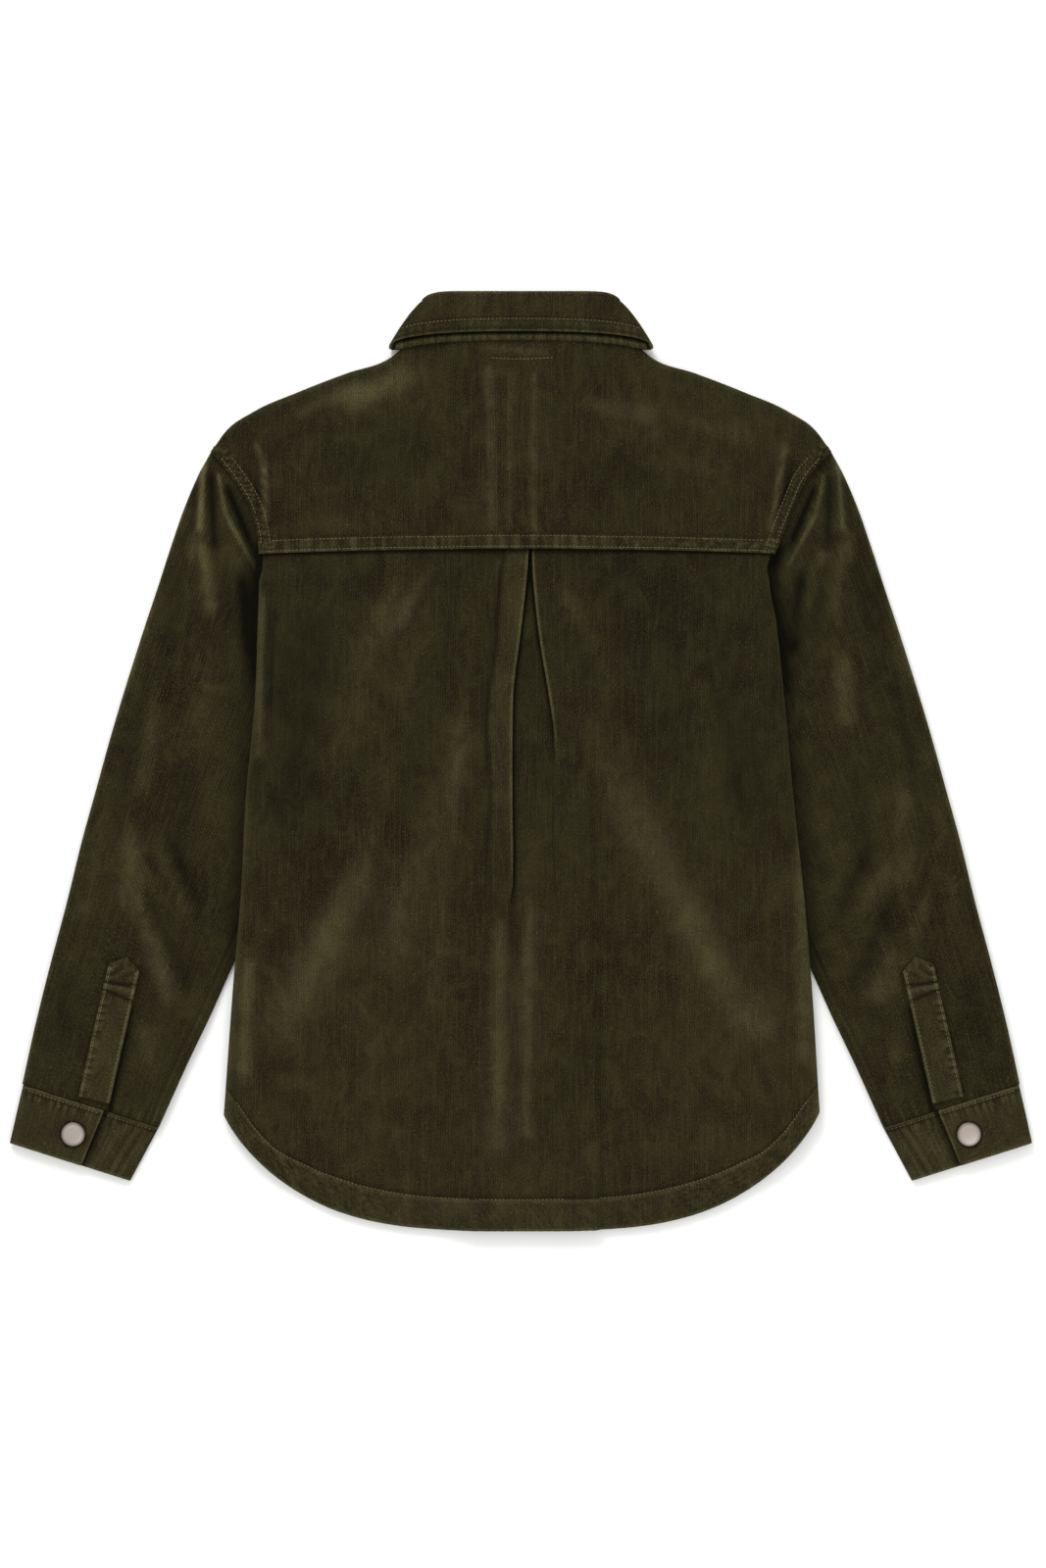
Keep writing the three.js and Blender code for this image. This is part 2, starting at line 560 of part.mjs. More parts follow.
// Collar fall: rolls over the stand's top edge and hangs outside it, ending in two points in front
function collarFall() {
  const rows = [
    { off: 0.5, rise: 2, down: 0 }, { off: 1, rise: 2.8, down: 0 },
    { off: 1.8, rise: 1.8, down: 0 }, { off: 2, rise: 0, down: 0 },
    { off: 2.2, rise: 0, down: 0.3 }, { off: 2.2, rise: 0, down: 0.65 },
    { off: 2.1, rise: 0, down: 1 },
  ];
  const grid = rows.map((row) => collarTurns(28).map((turn) => {
    const flare = mix(STAND_TOP_HALF, FALL_HALF, row.down);
    const p = collarRing(turn, flare, row.off * COLLAR_ROLL);
    const top = STAND_FOOT_Y + STAND_HEIGHT - (FRONT_NECK_DROP + 2) * Math.pow(p.front, 1.3) - cornerDrop(turn);
    const spread = smooth((p.front - 0.42) / 0.58);
    const edge = FALL_EDGE_Y + FALL_ARCH * Math.pow(p.back, 0.8) - FALL_POINT_DROP * spread;
    const z = p.front > 0 ? Math.max(p.z, COLLAR_CLOTH / 2) : p.z;
    return new THREE.Vector3(p.x, mix(top + row.rise, edge, row.down), z);
  }));
  return wall(grid, COLLAR_CLOTH);
}

// Snap cap: a low dome with a rounded rim
function snap(radius, height, faceDown) {
  const profile = [[0, 0], [radius, 0], [radius, height * 0.5], [radius * 0.8, height * 0.85], [0, height]];
  const geometry = new THREE.LatheGeometry(profile.map(([r, z]) => new THREE.Vector2(r, z)), 14);
  geometry.rotateX(Math.PI / 2);
  if (faceDown) {
    geometry.rotateX(Math.PI);
    geometry.translate(0, 0, height);
  }
  geometry.deleteAttribute('normal');
  geometry.deleteAttribute('uv');
  return mergeVertices(geometry, 1e-4);
}

add('back_panel', backPanel());
add('back_yoke', yoke());
for (const [word, side] of [['left', -1], ['right', 1]]) {
  add(`front_${word}`, frontPanel(side));
  add(`sleeve_${word}`, sleeve(side));
  add(`cuff_${word}`, cuff(side));
  add(`sleeve_placket_${word}`, sleevePlacket(side));
  const cap = add(`cuff_snap_${word}`, snap(SNAP_RADIUS, SNAP_HEIGHT, false), STEEL);
  const place = cuffPoint(SNAP_ACROSS * cuffWidth, CUFF_DEPTH * SNAP_DOWN, 0, side);
  const cuffTop = 3 * COLLAR_CLOTH + 2 * CUFF_PLY_GAP + CUFF_CROWN;
  cap.position.set(place.x, place.y, cuffTop + SEAM_GAP);
}
add('front_placket', frontPlacket());
add('collar_stand', collarStand());
add('collar_fall', collarFall());
for (let k = 0; k < FRONT_SNAP_COUNT; k++) {
  const cap = add(`front_snap_${k + 1}`, snap(FRONT_SNAP_RADIUS, FRONT_SNAP_HEIGHT, true), STEEL);
  cap.position.set(0, FRONT_SNAP_TOP_Y - k * FRONT_SNAP_PITCH, 0);
}

export default jacket;
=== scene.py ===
"""A corduroy overshirt jacket laid flat on its front, back side up.

Lengths in this script are millimetres until a mesh is made. +Y points to the collar, +X to the right sleeve.
"""
import bpy
import numpy as np
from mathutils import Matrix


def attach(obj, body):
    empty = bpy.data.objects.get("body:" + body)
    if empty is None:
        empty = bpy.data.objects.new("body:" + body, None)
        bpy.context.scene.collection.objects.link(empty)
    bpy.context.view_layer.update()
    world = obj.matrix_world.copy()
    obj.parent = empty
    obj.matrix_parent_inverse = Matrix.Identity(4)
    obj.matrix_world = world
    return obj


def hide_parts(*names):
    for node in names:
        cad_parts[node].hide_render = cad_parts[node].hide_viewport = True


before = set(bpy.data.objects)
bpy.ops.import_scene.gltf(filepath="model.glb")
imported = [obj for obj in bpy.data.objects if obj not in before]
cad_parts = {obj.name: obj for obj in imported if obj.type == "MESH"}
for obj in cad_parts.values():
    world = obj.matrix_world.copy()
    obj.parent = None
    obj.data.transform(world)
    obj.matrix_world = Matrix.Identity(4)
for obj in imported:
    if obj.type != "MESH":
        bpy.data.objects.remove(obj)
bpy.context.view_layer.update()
MM = 0.001

# The view: a camera straight above with a long lens, as in a catalogue picture. One pixel of the 1067 x 1600
# picture is 0.75 mm on the surface.
PIXEL = 0.75
IMAGE_HEIGHT = 1600
CAMERA_HEIGHT = 3200
VIEW_CENTRE = (1.5, -17.2)
SENSOR = 36.0

camera_data = bpy.data.cameras.new("camera")
camera_data.sensor_width = SENSOR
camera_data.lens = SENSOR * CAMERA_HEIGHT / (PIXEL * IMAGE_HEIGHT)
camera = bpy.data.objects.new("camera", camera_data)
camera.location = (VIEW_CENTRE[0] * MM, VIEW_CENTRE[1] * MM, CAMERA_HEIGHT * MM)
bpy.context.scene.collection.objects.link(camera)
bpy.context.scene.camera = camera


def linear(colour):
    """A colour as linear red, green, blue and alpha from sRGB hex: the curve undone for each channel."""
    values = np.array([int(colour[k:k + 2], 16) for k in (1, 3, 5)]) / 255
    values = np.where(values <= 0.04045, values / 12.92, ((values + 0.055) / 1.055) ** 2.4)
    return (*values, 1.0)


# The light: one wide softbox towards the collar end for relief, a weaker one at the hem, and a white room.
# The floor is a matt white studio sheet.
FLOOR_SIZE = 12000
WORLD_STRENGTH = 0.95
KEY_POWER = 38
FILL_POWER = 9


def softbox(name, place, size, power):
    """A square area light at a place in mm that looks at the middle of the garment."""
    data = bpy.data.lights.new(name, "AREA")
    data.energy = power
    data.size = size * MM
    light = bpy.data.objects.new(name, data)
    spot = np.array(place, float)
    light.location = spot * MM
    away = spot / np.linalg.norm(spot)
    light.rotation_euler = (np.arccos(away[2]), 0, np.arctan2(away[1], away[0]) + np.pi / 2)
    bpy.context.scene.collection.objects.link(light)


softbox("key_softbox", (-700, 1900, 1500), 1100, KEY_POWER)
softbox("fill_softbox", (900, -1500, 2200), 1600, FILL_POWER)
world = bpy.data.worlds.new("white_room")
world.use_nodes = True
world.node_tree.nodes["Background"].inputs["Color"].default_value = linear("#ffffff")
world.node_tree.nodes["Background"].inputs["Strength"].default_value = WORLD_STRENGTH
bpy.context.scene.world = world
bpy.context.scene.view_settings.view_transform = "Standard"


def node(tree, kind, links=None, **settings):
    """Adds a node: settings go to its properties or to the inputs of their names, and links feed inputs."""
    made = tree.nodes.new(kind)
    for name, value in settings.items():
        if hasattr(made, name):
            setattr(made, name, value)
        else:
            made.inputs[name.replace("_", " ")].default_value = value
    for name, source in (links or {}).items():
        tree.links.new(source, made.inputs[name])
    return made


def studio_sheet():
    """Matt white paper: nearly all light comes back, with no gloss."""
    material = bpy.data.materials.new("matt_white_paper")
    material.use_nodes = True
    shader = material.node_tree.nodes["Principled BSDF"]
    shader.inputs["Base Color"].default_value = linear("#f6f6f4")
    shader.inputs["Roughness"].default_value = 0.9
    shader.inputs["Specular IOR Level"].default_value = 0.1
    return material


floor_mesh = bpy.data.meshes.new("floor")
half = FLOOR_SIZE * MM / 2
corners = [(-half, -half, 0), (half, -half, 0), (half, half, 0), (-half, half, 0)]
floor_mesh.from_pydata(corners, [], [(0, 1, 2, 3)])
floor_mesh.materials.append(studio_sheet())
floor = bpy.data.objects.new("floor", floor_mesh)
bpy.context.scene.collection.objects.link(floor)

# The fronts: two panels of fine-wale cotton corduroy that lie face down on the surface. They rise over the
# sleeves, the collar's points and the placket that lie below them.
CLOTH = 1.5
LAYER_GAP = 1.8  # loose space between the fronts and the back
SEAM_GAP = 0.3
TUCK = 4.6  # height of the flattened sleeve where the body lies over it
RAMP = 50  # width over which a front rises onto what lies below it
SHOULDER_Y = 238
SHOULDER_HALF = 237
HEM_Y = -268
TAIL = 90.5  # depth of the shirt-tail curve
HEM_SIDE = 227
FRONT_HEM_RISE = 6
NECK_HALF = 80
NECK_Y = 327
FRONT_NECK_DROP = 79
COLLAR_LIFT = 3.2
PLACKET_HALF = 17
PLACKET_LIFT = 3.3
FRONT_SNAP_HEIGHT = 1.2
WALE = 1.9

body_edge = {
    "y": [238, 218, 195, 172, 145, 110, 58, -15, -90, -150, -268],
    "left": [237, 221, 207, 201, 200, 201, 203, 210, 214, 219, 227],
    "right": [237, 219, 208, 199, 190, 195, 201, 208, 216, 221, 228],
}
shoulder = {
    "x": [0, 60, 84, 102, 133, 172, 206, 227, 237],
    "y": [326, 326, 321, 307.5, 297, 282, 267, 252, 238],
}
sleeve_reach = {"y": [-230, 57, 250], "x": [225, 100, 100]}


def smooth(value):
    """A soft step from 0 to 1: three times the square less twice the cube."""
    t = np.clip(value, 0, 1)
    return t * t * (3 - 2 * t)


def along(table, key, column, place):
    """A table's column at a place along its key: cubic curves through the rows, with their mean slopes."""
    order = np.argsort(table[key])
    xs = np.array(table[key], float)[order]
    ys = np.array(table[column], float)[order]
    slopes = np.gradient(ys, xs)
    at = np.clip(place, xs[0], xs[-1])
    k = np.clip(np.searchsorted(xs, at) - 1, 0, len(xs) - 2)
    width = xs[k + 1] - xs[k]
    t = (at - xs[k]) / width
    low = (1 + 2 * t) * (1 - t) ** 2 * ys[k] + t * (1 - t) ** 2 * width * slopes[k]
    return low + t * t * (3 - 2 * t) * ys[k + 1] + t * t * (t - 1) * width * slopes[k + 1]


def edge_at(y, side):
    """The body's half width at a height, for the left (-1) or right side."""
    return along(body_edge, "y", "left" if side < 0 else "right", y)


def shoulder_y(x):
    """The height of the garment's upper edge at a distance from the centre."""
    return along(shoulder, "x", "y", np.abs(x))


def hem_y(part):
    """The shirt-tail hem: a flat-bottomed curve over the part of the half width."""
    return HEM_Y - TAIL * np.maximum(0, 1 - np.abs(part) ** 3.4) ** 0.83


def front_neck_y(x):
    """The front neckline, a deep bowl below the collar."""
    across = np.clip(np.abs(x) / NECK_HALF, 0, 1)
    return NECK_Y - FRONT_NECK_DROP * (1 - across ** 2) ** 0.65


def front_base(x, y, side):
    """The fronts' underside: on the surface, or on the sleeve, collar point or placket between."""
    reach = np.interp(y, sleeve_reach["y"], sleeve_reach["x"])
    on_sleeve = TUCK * smooth((np.abs(x) - reach + RAMP + 12) / RAMP)
    on_collar = COLLAR_LIFT * smooth((y - 150) / RAMP) * smooth((150 - np.abs(x)) / RAMP)
    lap = PLACKET_LIFT if side < 0 else FRONT_SNAP_HEIGHT + SEAM_GAP
    on_placket = lap * smooth((PLACKET_HALF + 42 - np.abs(x)) / 30)
    return np.maximum(np.maximum(on_sleeve, on_collar), on_placket)


def corduroy():
    """Fine-wale cotton corduroy, cut pile brushed up into ribs: matt and dark between the ribs, cloudy where
    the pile leans, speckled by its short fibres, pale where scuffed and under painted highlights and sheen,
    and black-brown where painted shade lies in creases and gaps."""
    material = bpy.data.materials.new("fine_wale_cotton_corduroy")
    material.use_nodes = True
    tree = material.node_tree
    shader = tree.nodes["Principled BSDF"]

    def noise(source, scale, **settings):
        """Fractal noise on coordinates stretched by three scales for each metre."""
        stretched = node(tree, "ShaderNodeMapping", {"Vector": source})
        stretched.inputs["Scale"].default_value = scale
        links = {"Vector": stretched.outputs[0]}
        return node(tree, "ShaderNodeTexNoise", links, Scale=1.0, **settings).outputs["Fac"]

    def levels(source, low, high, to_low, to_high):
        """The source's range from low to high spread over another range, cut off at both ends."""
        return node(tree, "ShaderNodeMapRange", {"Value": source}, From_Min=low, From_Max=high, To_Min=to_low,
                    To_Max=to_high).outputs[0]

    def blend(amount, below, colour):
        """A colour laid over what is below by an amount from 0 to 1."""
        mixed = node(tree, "ShaderNodeMix", {"Factor": amount, "A": below}, data_type="RGBA")
        mixed.inputs["B"].default_value = linear(colour)
        return mixed.outputs["Result"]

    def reckon(operation, first, second, third=None):
        """One arithmetic step on two or three inputs, each a socket or a number."""
        step = node(tree, "ShaderNodeMath", operation=operation)
        for slot, value in enumerate((first, second, third)):
            if isinstance(value, (int, float)):
                step.inputs[slot].default_value = value
            elif value is not None:
                tree.links.new(value, step.inputs[slot])
        return step.outputs[0]

    ribs = node(tree, "ShaderNodeUVMap", uv_map="ribs").outputs["UV"]
    place = node(tree, "ShaderNodeTexCoord").outputs["Object"]
    across = node(tree, "ShaderNodeSeparateXYZ", {"Vector": ribs}).outputs["X"]
    wander = reckon("MULTIPLY", noise(place, (70, 70, 70), Detail=2.0), 0.0007)
    turn = reckon("MULTIPLY", reckon("ADD", across, wander), float(np.pi / (WALE * MM)))
    rib = reckon("ABSOLUTE", reckon("SINE", turn, 0.0), 0.0)
    rib = reckon("POWER", rib, 0.7)
    grain = noise(ribs, (1500, 700, 1), Detail=3.0, Roughness=0.6)
    streak = noise(ribs, (460, 30, 1), Detail=3.0)
    cloud = noise(place, (11, 11, 11), Detail=8.0, Roughness=0.68, Distortion=0.5)
    blotch = noise(place, (60, 42, 50), Detail=9.0, Roughness=0.74, Distortion=0.9)
    lint = noise(place, (700, 700, 700), Detail=1.0)
    base = node(tree, "ShaderNodeMix", {"Factor": rib}, data_type="RGBA")
    base.inputs["A"].default_value = linear("#0d0906")
    base.inputs["B"].default_value = linear("#201a0c")
    tone = blend(levels(cloud, 0.4, 0.64, 0.0, 0.65), base.outputs["Result"], "#2e2a16")
    tone = blend(levels(blotch, 0.48, 0.68, 0.0, 0.6), tone, "#35321b")
    tone = blend(levels(blotch, 0.32, 0.5, 0.6, 0.0), tone, "#150e07")
    tone = blend(levels(streak, 0.5, 0.75, 0.0, 0.45), tone, "#3b361f")
    tone = blend(levels(grain, 0.5, 0.75, 0.0, 0.7), tone, "#4b4528")
    tone = blend(levels(grain, 0.28, 0.5, 0.7, 0.0), tone, "#080602")
    tone = blend(levels(lint, 0.7, 0.78, 0.0, 0.5), tone, "#5f593e")
    wear_and_painted_light = node(tree, "ShaderNodeAttribute", attribute_name="wear_and_painted_light").outputs["Fac"]
    # Pale: scuffs together with painted highlights and painted sheen, broken up by the grain and blotches.
    pale_wear_and_highlight = reckon("MULTIPLY", levels(wear_and_painted_light, 0.0, 1.0, 0.0, 1.0), levels(grain, 0.32, 0.6, 0.3, 1.0))
    pale_wear_and_highlight = reckon("MULTIPLY", pale_wear_and_highlight, levels(blotch, 0.35, 0.6, 0.55, 1.0))
    tone = blend(pale_wear_and_highlight, tone, "#625c3d")
    # Painted shade: negative values darken towards near black in creases and gaps.
    tone = blend(levels(wear_and_painted_light, -1.0, 0.0, 0.92, 0.0), tone, "#050402")
    tree.links.new(tone, shader.inputs["Base Color"])
    pile = reckon("MULTIPLY_ADD", grain, 0.8, rib)
    bump = node(tree, "ShaderNodeBump", {"Height": pile}, Strength=0.8, Distance=0.5 * MM)
    tree.links.new(bump.outputs["Normal"], shader.inputs["Normal"])
    shader.inputs["Roughness"].default_value = 0.92
    shader.inputs["Specular IOR Level"].default_value = 0.05
    shader.inputs["Sheen Weight"].default_value = 0.05
    shader.inputs["Sheen Roughness"].default_value = 0.45
    shader.inputs["Sheen Tint"].default_value = linear("#b4ab86")
    return material


corduroy_cloth = corduroy()
rng = np.random.default_rng(7)
PUCKER = [(rng.uniform(0.03, 0.16), rng.uniform(0, np.pi), rng.uniform(0, 2 * np.pi)) for _ in range(14)]


def uneven(x, y, scale=1.0):
    """Gentle unevenness of lying cloth: fourteen sine waves of mixed length and direction, about -1 to 1."""
    total = 0
    for pitch, turn, phase in PUCKER:
        total = total + np.sin(pitch * scale * (x * np.cos(turn) + y * np.sin(turn)) + phase)
    return total / 5


def gathers(run):
    """Small uneven ticks where a seam draws the cloth in, by the distance along it: two sines of wandering
    pitch."""
    wander = 2.2 * np.sin(0.23 * run) + 1.6 * np.sin(0.071 * run)
    return 0.55 * np.sin(1.05 * run + wander) + 0.45 * np.sin(1.9 * run - 1.4 * wander)


def joined(*parts):
    """Arrays of mixed shape brought to one shape and set side by side as the last axis."""
    return np.stack(np.broadcast_arrays(*parts), axis=-1)


def cloth(name, grid, thickness, nodes, ribs=None, wear_and_painted_light=None, ring=False):
    """A piece of cloth from a grid of middle points (rows, columns, xyz) in mm, thickened to both sides. ribs
    gives each point's place across and along the ribs, and the tone array after it how pale (to 1) or dark
    (to -1) each point is made: paler for scuffs, painted highlights and painted sheen, darker for painted
    shade."""
    rows, cols = grid.shape[:2]
    mesh = bpy.data.meshes.new(name)
    index = np.arange(rows * cols).reshape(rows, cols)
    if ring:
        index = np.hstack([index, index[:, :1]])
    quads = np.stack([index[:-1, :-1], index[1:, :-1], index[1:, 1:], index[:-1, 1:]], axis=-1).reshape(-1, 4)
    points = grid.reshape(-1, 3) * MM
    corner = points[quads]
    flow = np.cross(corner[:, 1] - corner[:, 0], corner[:, 3] - corner[:, 0])
    inside = points.mean(axis=0)
    if ring:
        outward = (flow * (corner.mean(axis=1) - inside) * (0, 0, 1)).sum()
    else:
        outward = flow[:, 2].sum()
    if outward < 0:
        quads = quads[:, ::-1]
    mesh.vertices.add(len(points))
    mesh.vertices.foreach_set("co", points.ravel())
    mesh.loops.add(quads.size)
    mesh.loops.foreach_set("vertex_index", quads.ravel())
    mesh.polygons.add(len(quads))
    mesh.polygons.foreach_set("loop_start", np.arange(0, quads.size, 4))
    mesh.update(calc_edges=True)
    across = grid[..., :2] if ribs is None else ribs
    layer = mesh.uv_layers.new(name="ribs")
    layer.data.foreach_set("uv", (across.reshape(-1, 2)[quads.ravel()] * MM).ravel())
    light_and_wear_values = mesh.attributes.new("wear_and_painted_light", "FLOAT", "POINT")
    light_and_wear_values.data.foreach_set("value", np.zeros(rows * cols) if wear_and_painted_light is None else np.clip(wear_and_painted_light, -1, 1).ravel())
    mesh.polygons.foreach_set("use_smooth", np.ones(len(quads), bool))
    mesh.materials.append(corduroy_cloth)
    piece = bpy.data.objects.new(name, mesh)
    bpy.context.scene.collection.objects.link(piece)
    solid = piece.modifiers.new("cloth_thickness", "SOLIDIFY")
    solid.thickness = thickness * MM
    solid.offset = 0
    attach(piece, "root")
    if nodes:
        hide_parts(*nodes)
    return piece


def front_panel(side, name):
    """Rows from shoulder and neckline to hem, columns from the centre to the side seam, on front_base."""
    inset = CLOTH * 1.5 + SEAM_GAP + 0.6
    start = 14 if side < 0 else PLACKET_HALF + 0.6
    v, part = np.meshgrid(np.linspace(0, 1, 110), np.linspace(0, 1, 48), indexing="ij")
    side_y = SHOULDER_Y - 5 + (HEM_Y + FRONT_HEM_RISE - SHOULDER_Y + 5) * v
    outer = edge_at(side_y, side) - inset - 6 * smooth((side_y - 120) / 30)
    x = start + (side * outer - start) * part
    across = np.abs(x) / outer
    rim = shoulder_y(x * SHOULDER_HALF / outer)
    neck = np.where(np.abs(x) < NECK_HALF, front_neck_y(x) - 6, rim)
    top = np.minimum(neck, rim) - inset - 1.5
    y = top + (hem_y(np.minimum(across, 1)) + FRONT_HEM_RISE - top) * v
    grid = joined(x, y, front_base(x, y, side) + CLOTH / 2 + 0.02)
    return cloth(name, grid, CLOTH, [name])


front_left = front_panel(-1, "front_left")
front_right = front_panel(1, "front_right")

# The front placket: one folded strip down the centre of the front, sewn on and lying lowest.
top_y = NECK_Y - FRONT_NECK_DROP - 6
bottom_y = HEM_Y - TAIL + FRONT_HEM_RISE
v, part = np.meshgrid(np.linspace(0, 1, 90), np.linspace(-1, 1, 8), indexing="ij")
level = np.full(v.shape, FRONT_SNAP_HEIGHT + SEAM_GAP + CLOTH / 2)
placket_grid = joined(part * PLACKET_HALF, top_y + (bottom_y - top_y) * v, level)
front_placket = cloth("front_placket", placket_grid, CLOTH, ["front_placket"])

# The sleeves: each is one piece of cloth sewn into a tube, flattened on the surface. The inner edge lies
# below the body, and soft folds run from the shoulder and the elbow.
sleeve_rows = {
    "at": [0, 1, 2, 3, 4, 5, 6, 7, 8, 9, 10, 11, 12, 13],
    "out_x": [234, 246.5, 257, 267, 277, 287, 301, 313, 324, 335, 346, 358, 370, 380.2],
    "out_y": [241, 217, 192, 163, 132, 102, 58, 18, -22, -62, -107, -152, -200, -246.4],
    "in_x": [101, 113, 120, 128, 137, 146, 160, 174, 190, 205, 222, 238, 257, 277.2],
    "in_y": [110, 88, 70, 50, 28, 8, -22, -54, -88, -122, -158, -194, -234, -279],
    "bulge": [22, 19, 15, 10, 5, 2, 0, 0, 0, 0, 0, 0, 0, 0],
    "puff": [4.6, 5.4, 6.1, 6.2, 6.2, 6.2, 6.2, 6.2, 6.2, 6.2, 6.2, 6.2, 6.2, 6.2],
}
SLEEVE_WIDTH = 130  # the flattened sleeve's usual width and the pitch of the rows above, for the ribs
SLEEVE_PITCH = 42
SLEEVE_PUFF = 6.2
SLEEVE_PLACKET_HALF = 12
placket_top = np.array([303, -158])
placket_end = np.array([326.5, -261.5])


def fold_table(rows):
    """A table of folds: each runs from x1, y1 to x2, y2 with a half width and a height, negative for a
    trough."""
    return [dict(zip(("x1", "y1", "x2", "y2", "wide", "high"), row)) for row in rows]


left_sleeve_folds = fold_table([
    (242, 229, 245, 172, 3.6, 3.6), (245, 176, 232, 104, 7, 3.2), (232, 222, 225, 186, 3.2, 3),
    (225, 188, 203, 148, 3.4, 3.2), (274, 73, 292, -32, 11, 3), (296, -40, 302, -118, 11, 2.6),
    (300, -95, 262, -180, 9, 3), (278, -62, 250, -128, 8, 2.6), (330, -100, 352, -196, 9, 1.6),
    (250, 200, 246, 100, 5, -1.6), (262, 40, 240, -60, 9, -1.4),
])
right_sleeve_folds = fold_table([
    (239, 226, 238, 170, 3.6, 3.2), (238, 174, 208, 92, 6, 3.4), (230, 214, 214, 168, 3.4, 2.8),
    (246, 93, 252, 22, 9, 3), (297, -8, 287, -68, 10, 2.8), (284, -70, 257, -122, 10, 3),
    (312, -98, 297, -147, 9, 2.8), (295, -150, 276, -192, 9, 2.4), (338, -120, 356, -200, 9, 1.6),
    (262, 180, 262, 110, 6, -1.4),
])
# Painted highlights (positive) along lit folds and painted shade (negative) in creases, with no height
sleeve_painted_light = fold_table([
    (282, 120, 300, 60, 8, 0.22), (262, 150, 276, 40, 9, -0.25), (256, 0, 262, -90, 7, -0.25),
    (318, -30, 330, -110, 8, 0.16), (300, -60, 284, -110, 8, 0.25), (286, -140, 266, -190, 7, 0.3),
    (290, -196, 284, -236, 8, 0.25), (345, -150, 352, -220, 10, -0.25), (246, 200, 252, 150, 5, 0.25),
    (238, 80, 246, 20, 7, 0.18), (237, 222, 234, 160, 3.4, -0.8), (249, 214, 251, 176, 3, -0.4),
    (226, 212, 206, 165, 3.4, -1), (214, 146, 209, 80, 5, -0.8), (242, 229, 245, 176, 1.8, 0.55),
    (232, 221, 225, 187, 1.5, 0.5), (225, 188, 204, 149, 1.6, 0.5), (246, 170, 238, 110, 5, 0.22),
    (228, 150, 224, 100, 6, -0.3), (284, 70, 304, -30, 6, -0.35), (288, -96, 252, -176, 5, -0.4),
    (268, -60, 240, -124, 5, -0.4),
])


def bell(off, wide):
    """A smooth bump of height 1: the exponential of minus the square of the offset over the half width."""
    return np.exp(-(off / wide) ** 2)


def fold_height(folds, x, y):
    """The sum of soft ridges: a bell across each fold's line, fading in and out over its ends."""
    height = np.zeros(np.broadcast(x, y).shape)
    for fold in folds:
        dx = fold["x2"] - fold["x1"]
        dy = fold["y2"] - fold["y1"]
        length = np.hypot(dx, dy)
        run = ((x - fold["x1"]) * dx + (y - fold["y1"]) * dy) / length
        off = ((x - fold["x1"]) * dy - (y - fold["y1"]) * dx) / length
        wide = fold["wide"]
        fade = smooth((run + wide) / (3 * wide)) * smooth((length + wide - run) / (3 * wide))
        height += fold["high"] * fade * bell(off, wide)
    return height


def sleeve_top(x, y, puff, side):
    """The middle of the sleeve's upper layer: low where the body covers it, and full with folds beside it."""
    folds = left_sleeve_folds if side < 0 else right_sleeve_folds
    clear = np.where(y > 246, 1, smooth((x - edge_at(y, side) - 5) / 20))
    low = TUCK - SEAM_GAP - CLOTH / 2 - 0.15
    full = puff + 1.2 + fold_height(folds, x, y) + 0.35 * uneven(x * side, y)
    return low + (np.maximum(full, low) - low) * clear


def beside_placket(x, y):
    """How far down and how far across from the placket's centre line a point of the sleeve lies."""
    way = (placket_end - placket_top) / np.hypot(*(placket_end - placket_top))
    dx, dy = x - placket_top[0], y - placket_top[1]
    return dx * way[0] + dy * way[1], dx * way[1] - dy * way[0]


def sleeve_painted_light_and_seam(x, y, part, width, side):
    """Painted highlights on the ridges and painted shade in the creases, painted shade beside the body's
    edge, painted sheen along both edges, a seam line along the inner edge, the placket's painted shadow, and
    light and dark ticks painted for the gathers where the cuff's seam draws the cloth in."""
    folds = left_sleeve_folds if side < 0 else right_sleeve_folds
    # Painted shade on the sleeve where the body's edge stands over it.
    near_body = bell(x - edge_at(y, side) - 2, 7)
    beside = -(0.45 + 0.5 * smooth((y - 30) / 50)) * near_body * smooth((172 - y) / 12)
    from_inner = (1 - part) * width
    seam = 0.2 * bell(from_inner - 6, 1.1) - 0.3 * bell(from_inner - 8.2, 1.2)
    # Painted sheen along both edges of the flattened sleeve.
    rim = 0.3 * smooth((3.5 - part * width) / 3) + 0.15 * smooth((3 - from_inner) / 2)
    down, across = beside_placket(x, y)
    reach = smooth((down + 6) / 5)
    shadow = -0.8 * smooth((down - 18) / 30) * bell(across - 13.2, 3.4) * (across > 11)
    shadow = shadow - 0.5 * reach * bell(np.abs(across) - 12.9, 1.1)
    end = 110 - down
    # Light and dark ticks painted for the gathers above the cuff.
    drawn = smooth((16 - end) / 14) * 0.34 * gathers(across * 0.9 + 0.12 * down) * (np.abs(across) > 12)
    # Painted highlights on the fold crests, plus the table's painted highlights and shade.
    painted_fold_light = 0.3 * smooth(fold_height(folds, x, y) / 4) + fold_height(sleeve_painted_light, x, y) - 0.09
    return painted_fold_light + beside + seam + rim + shadow + drawn


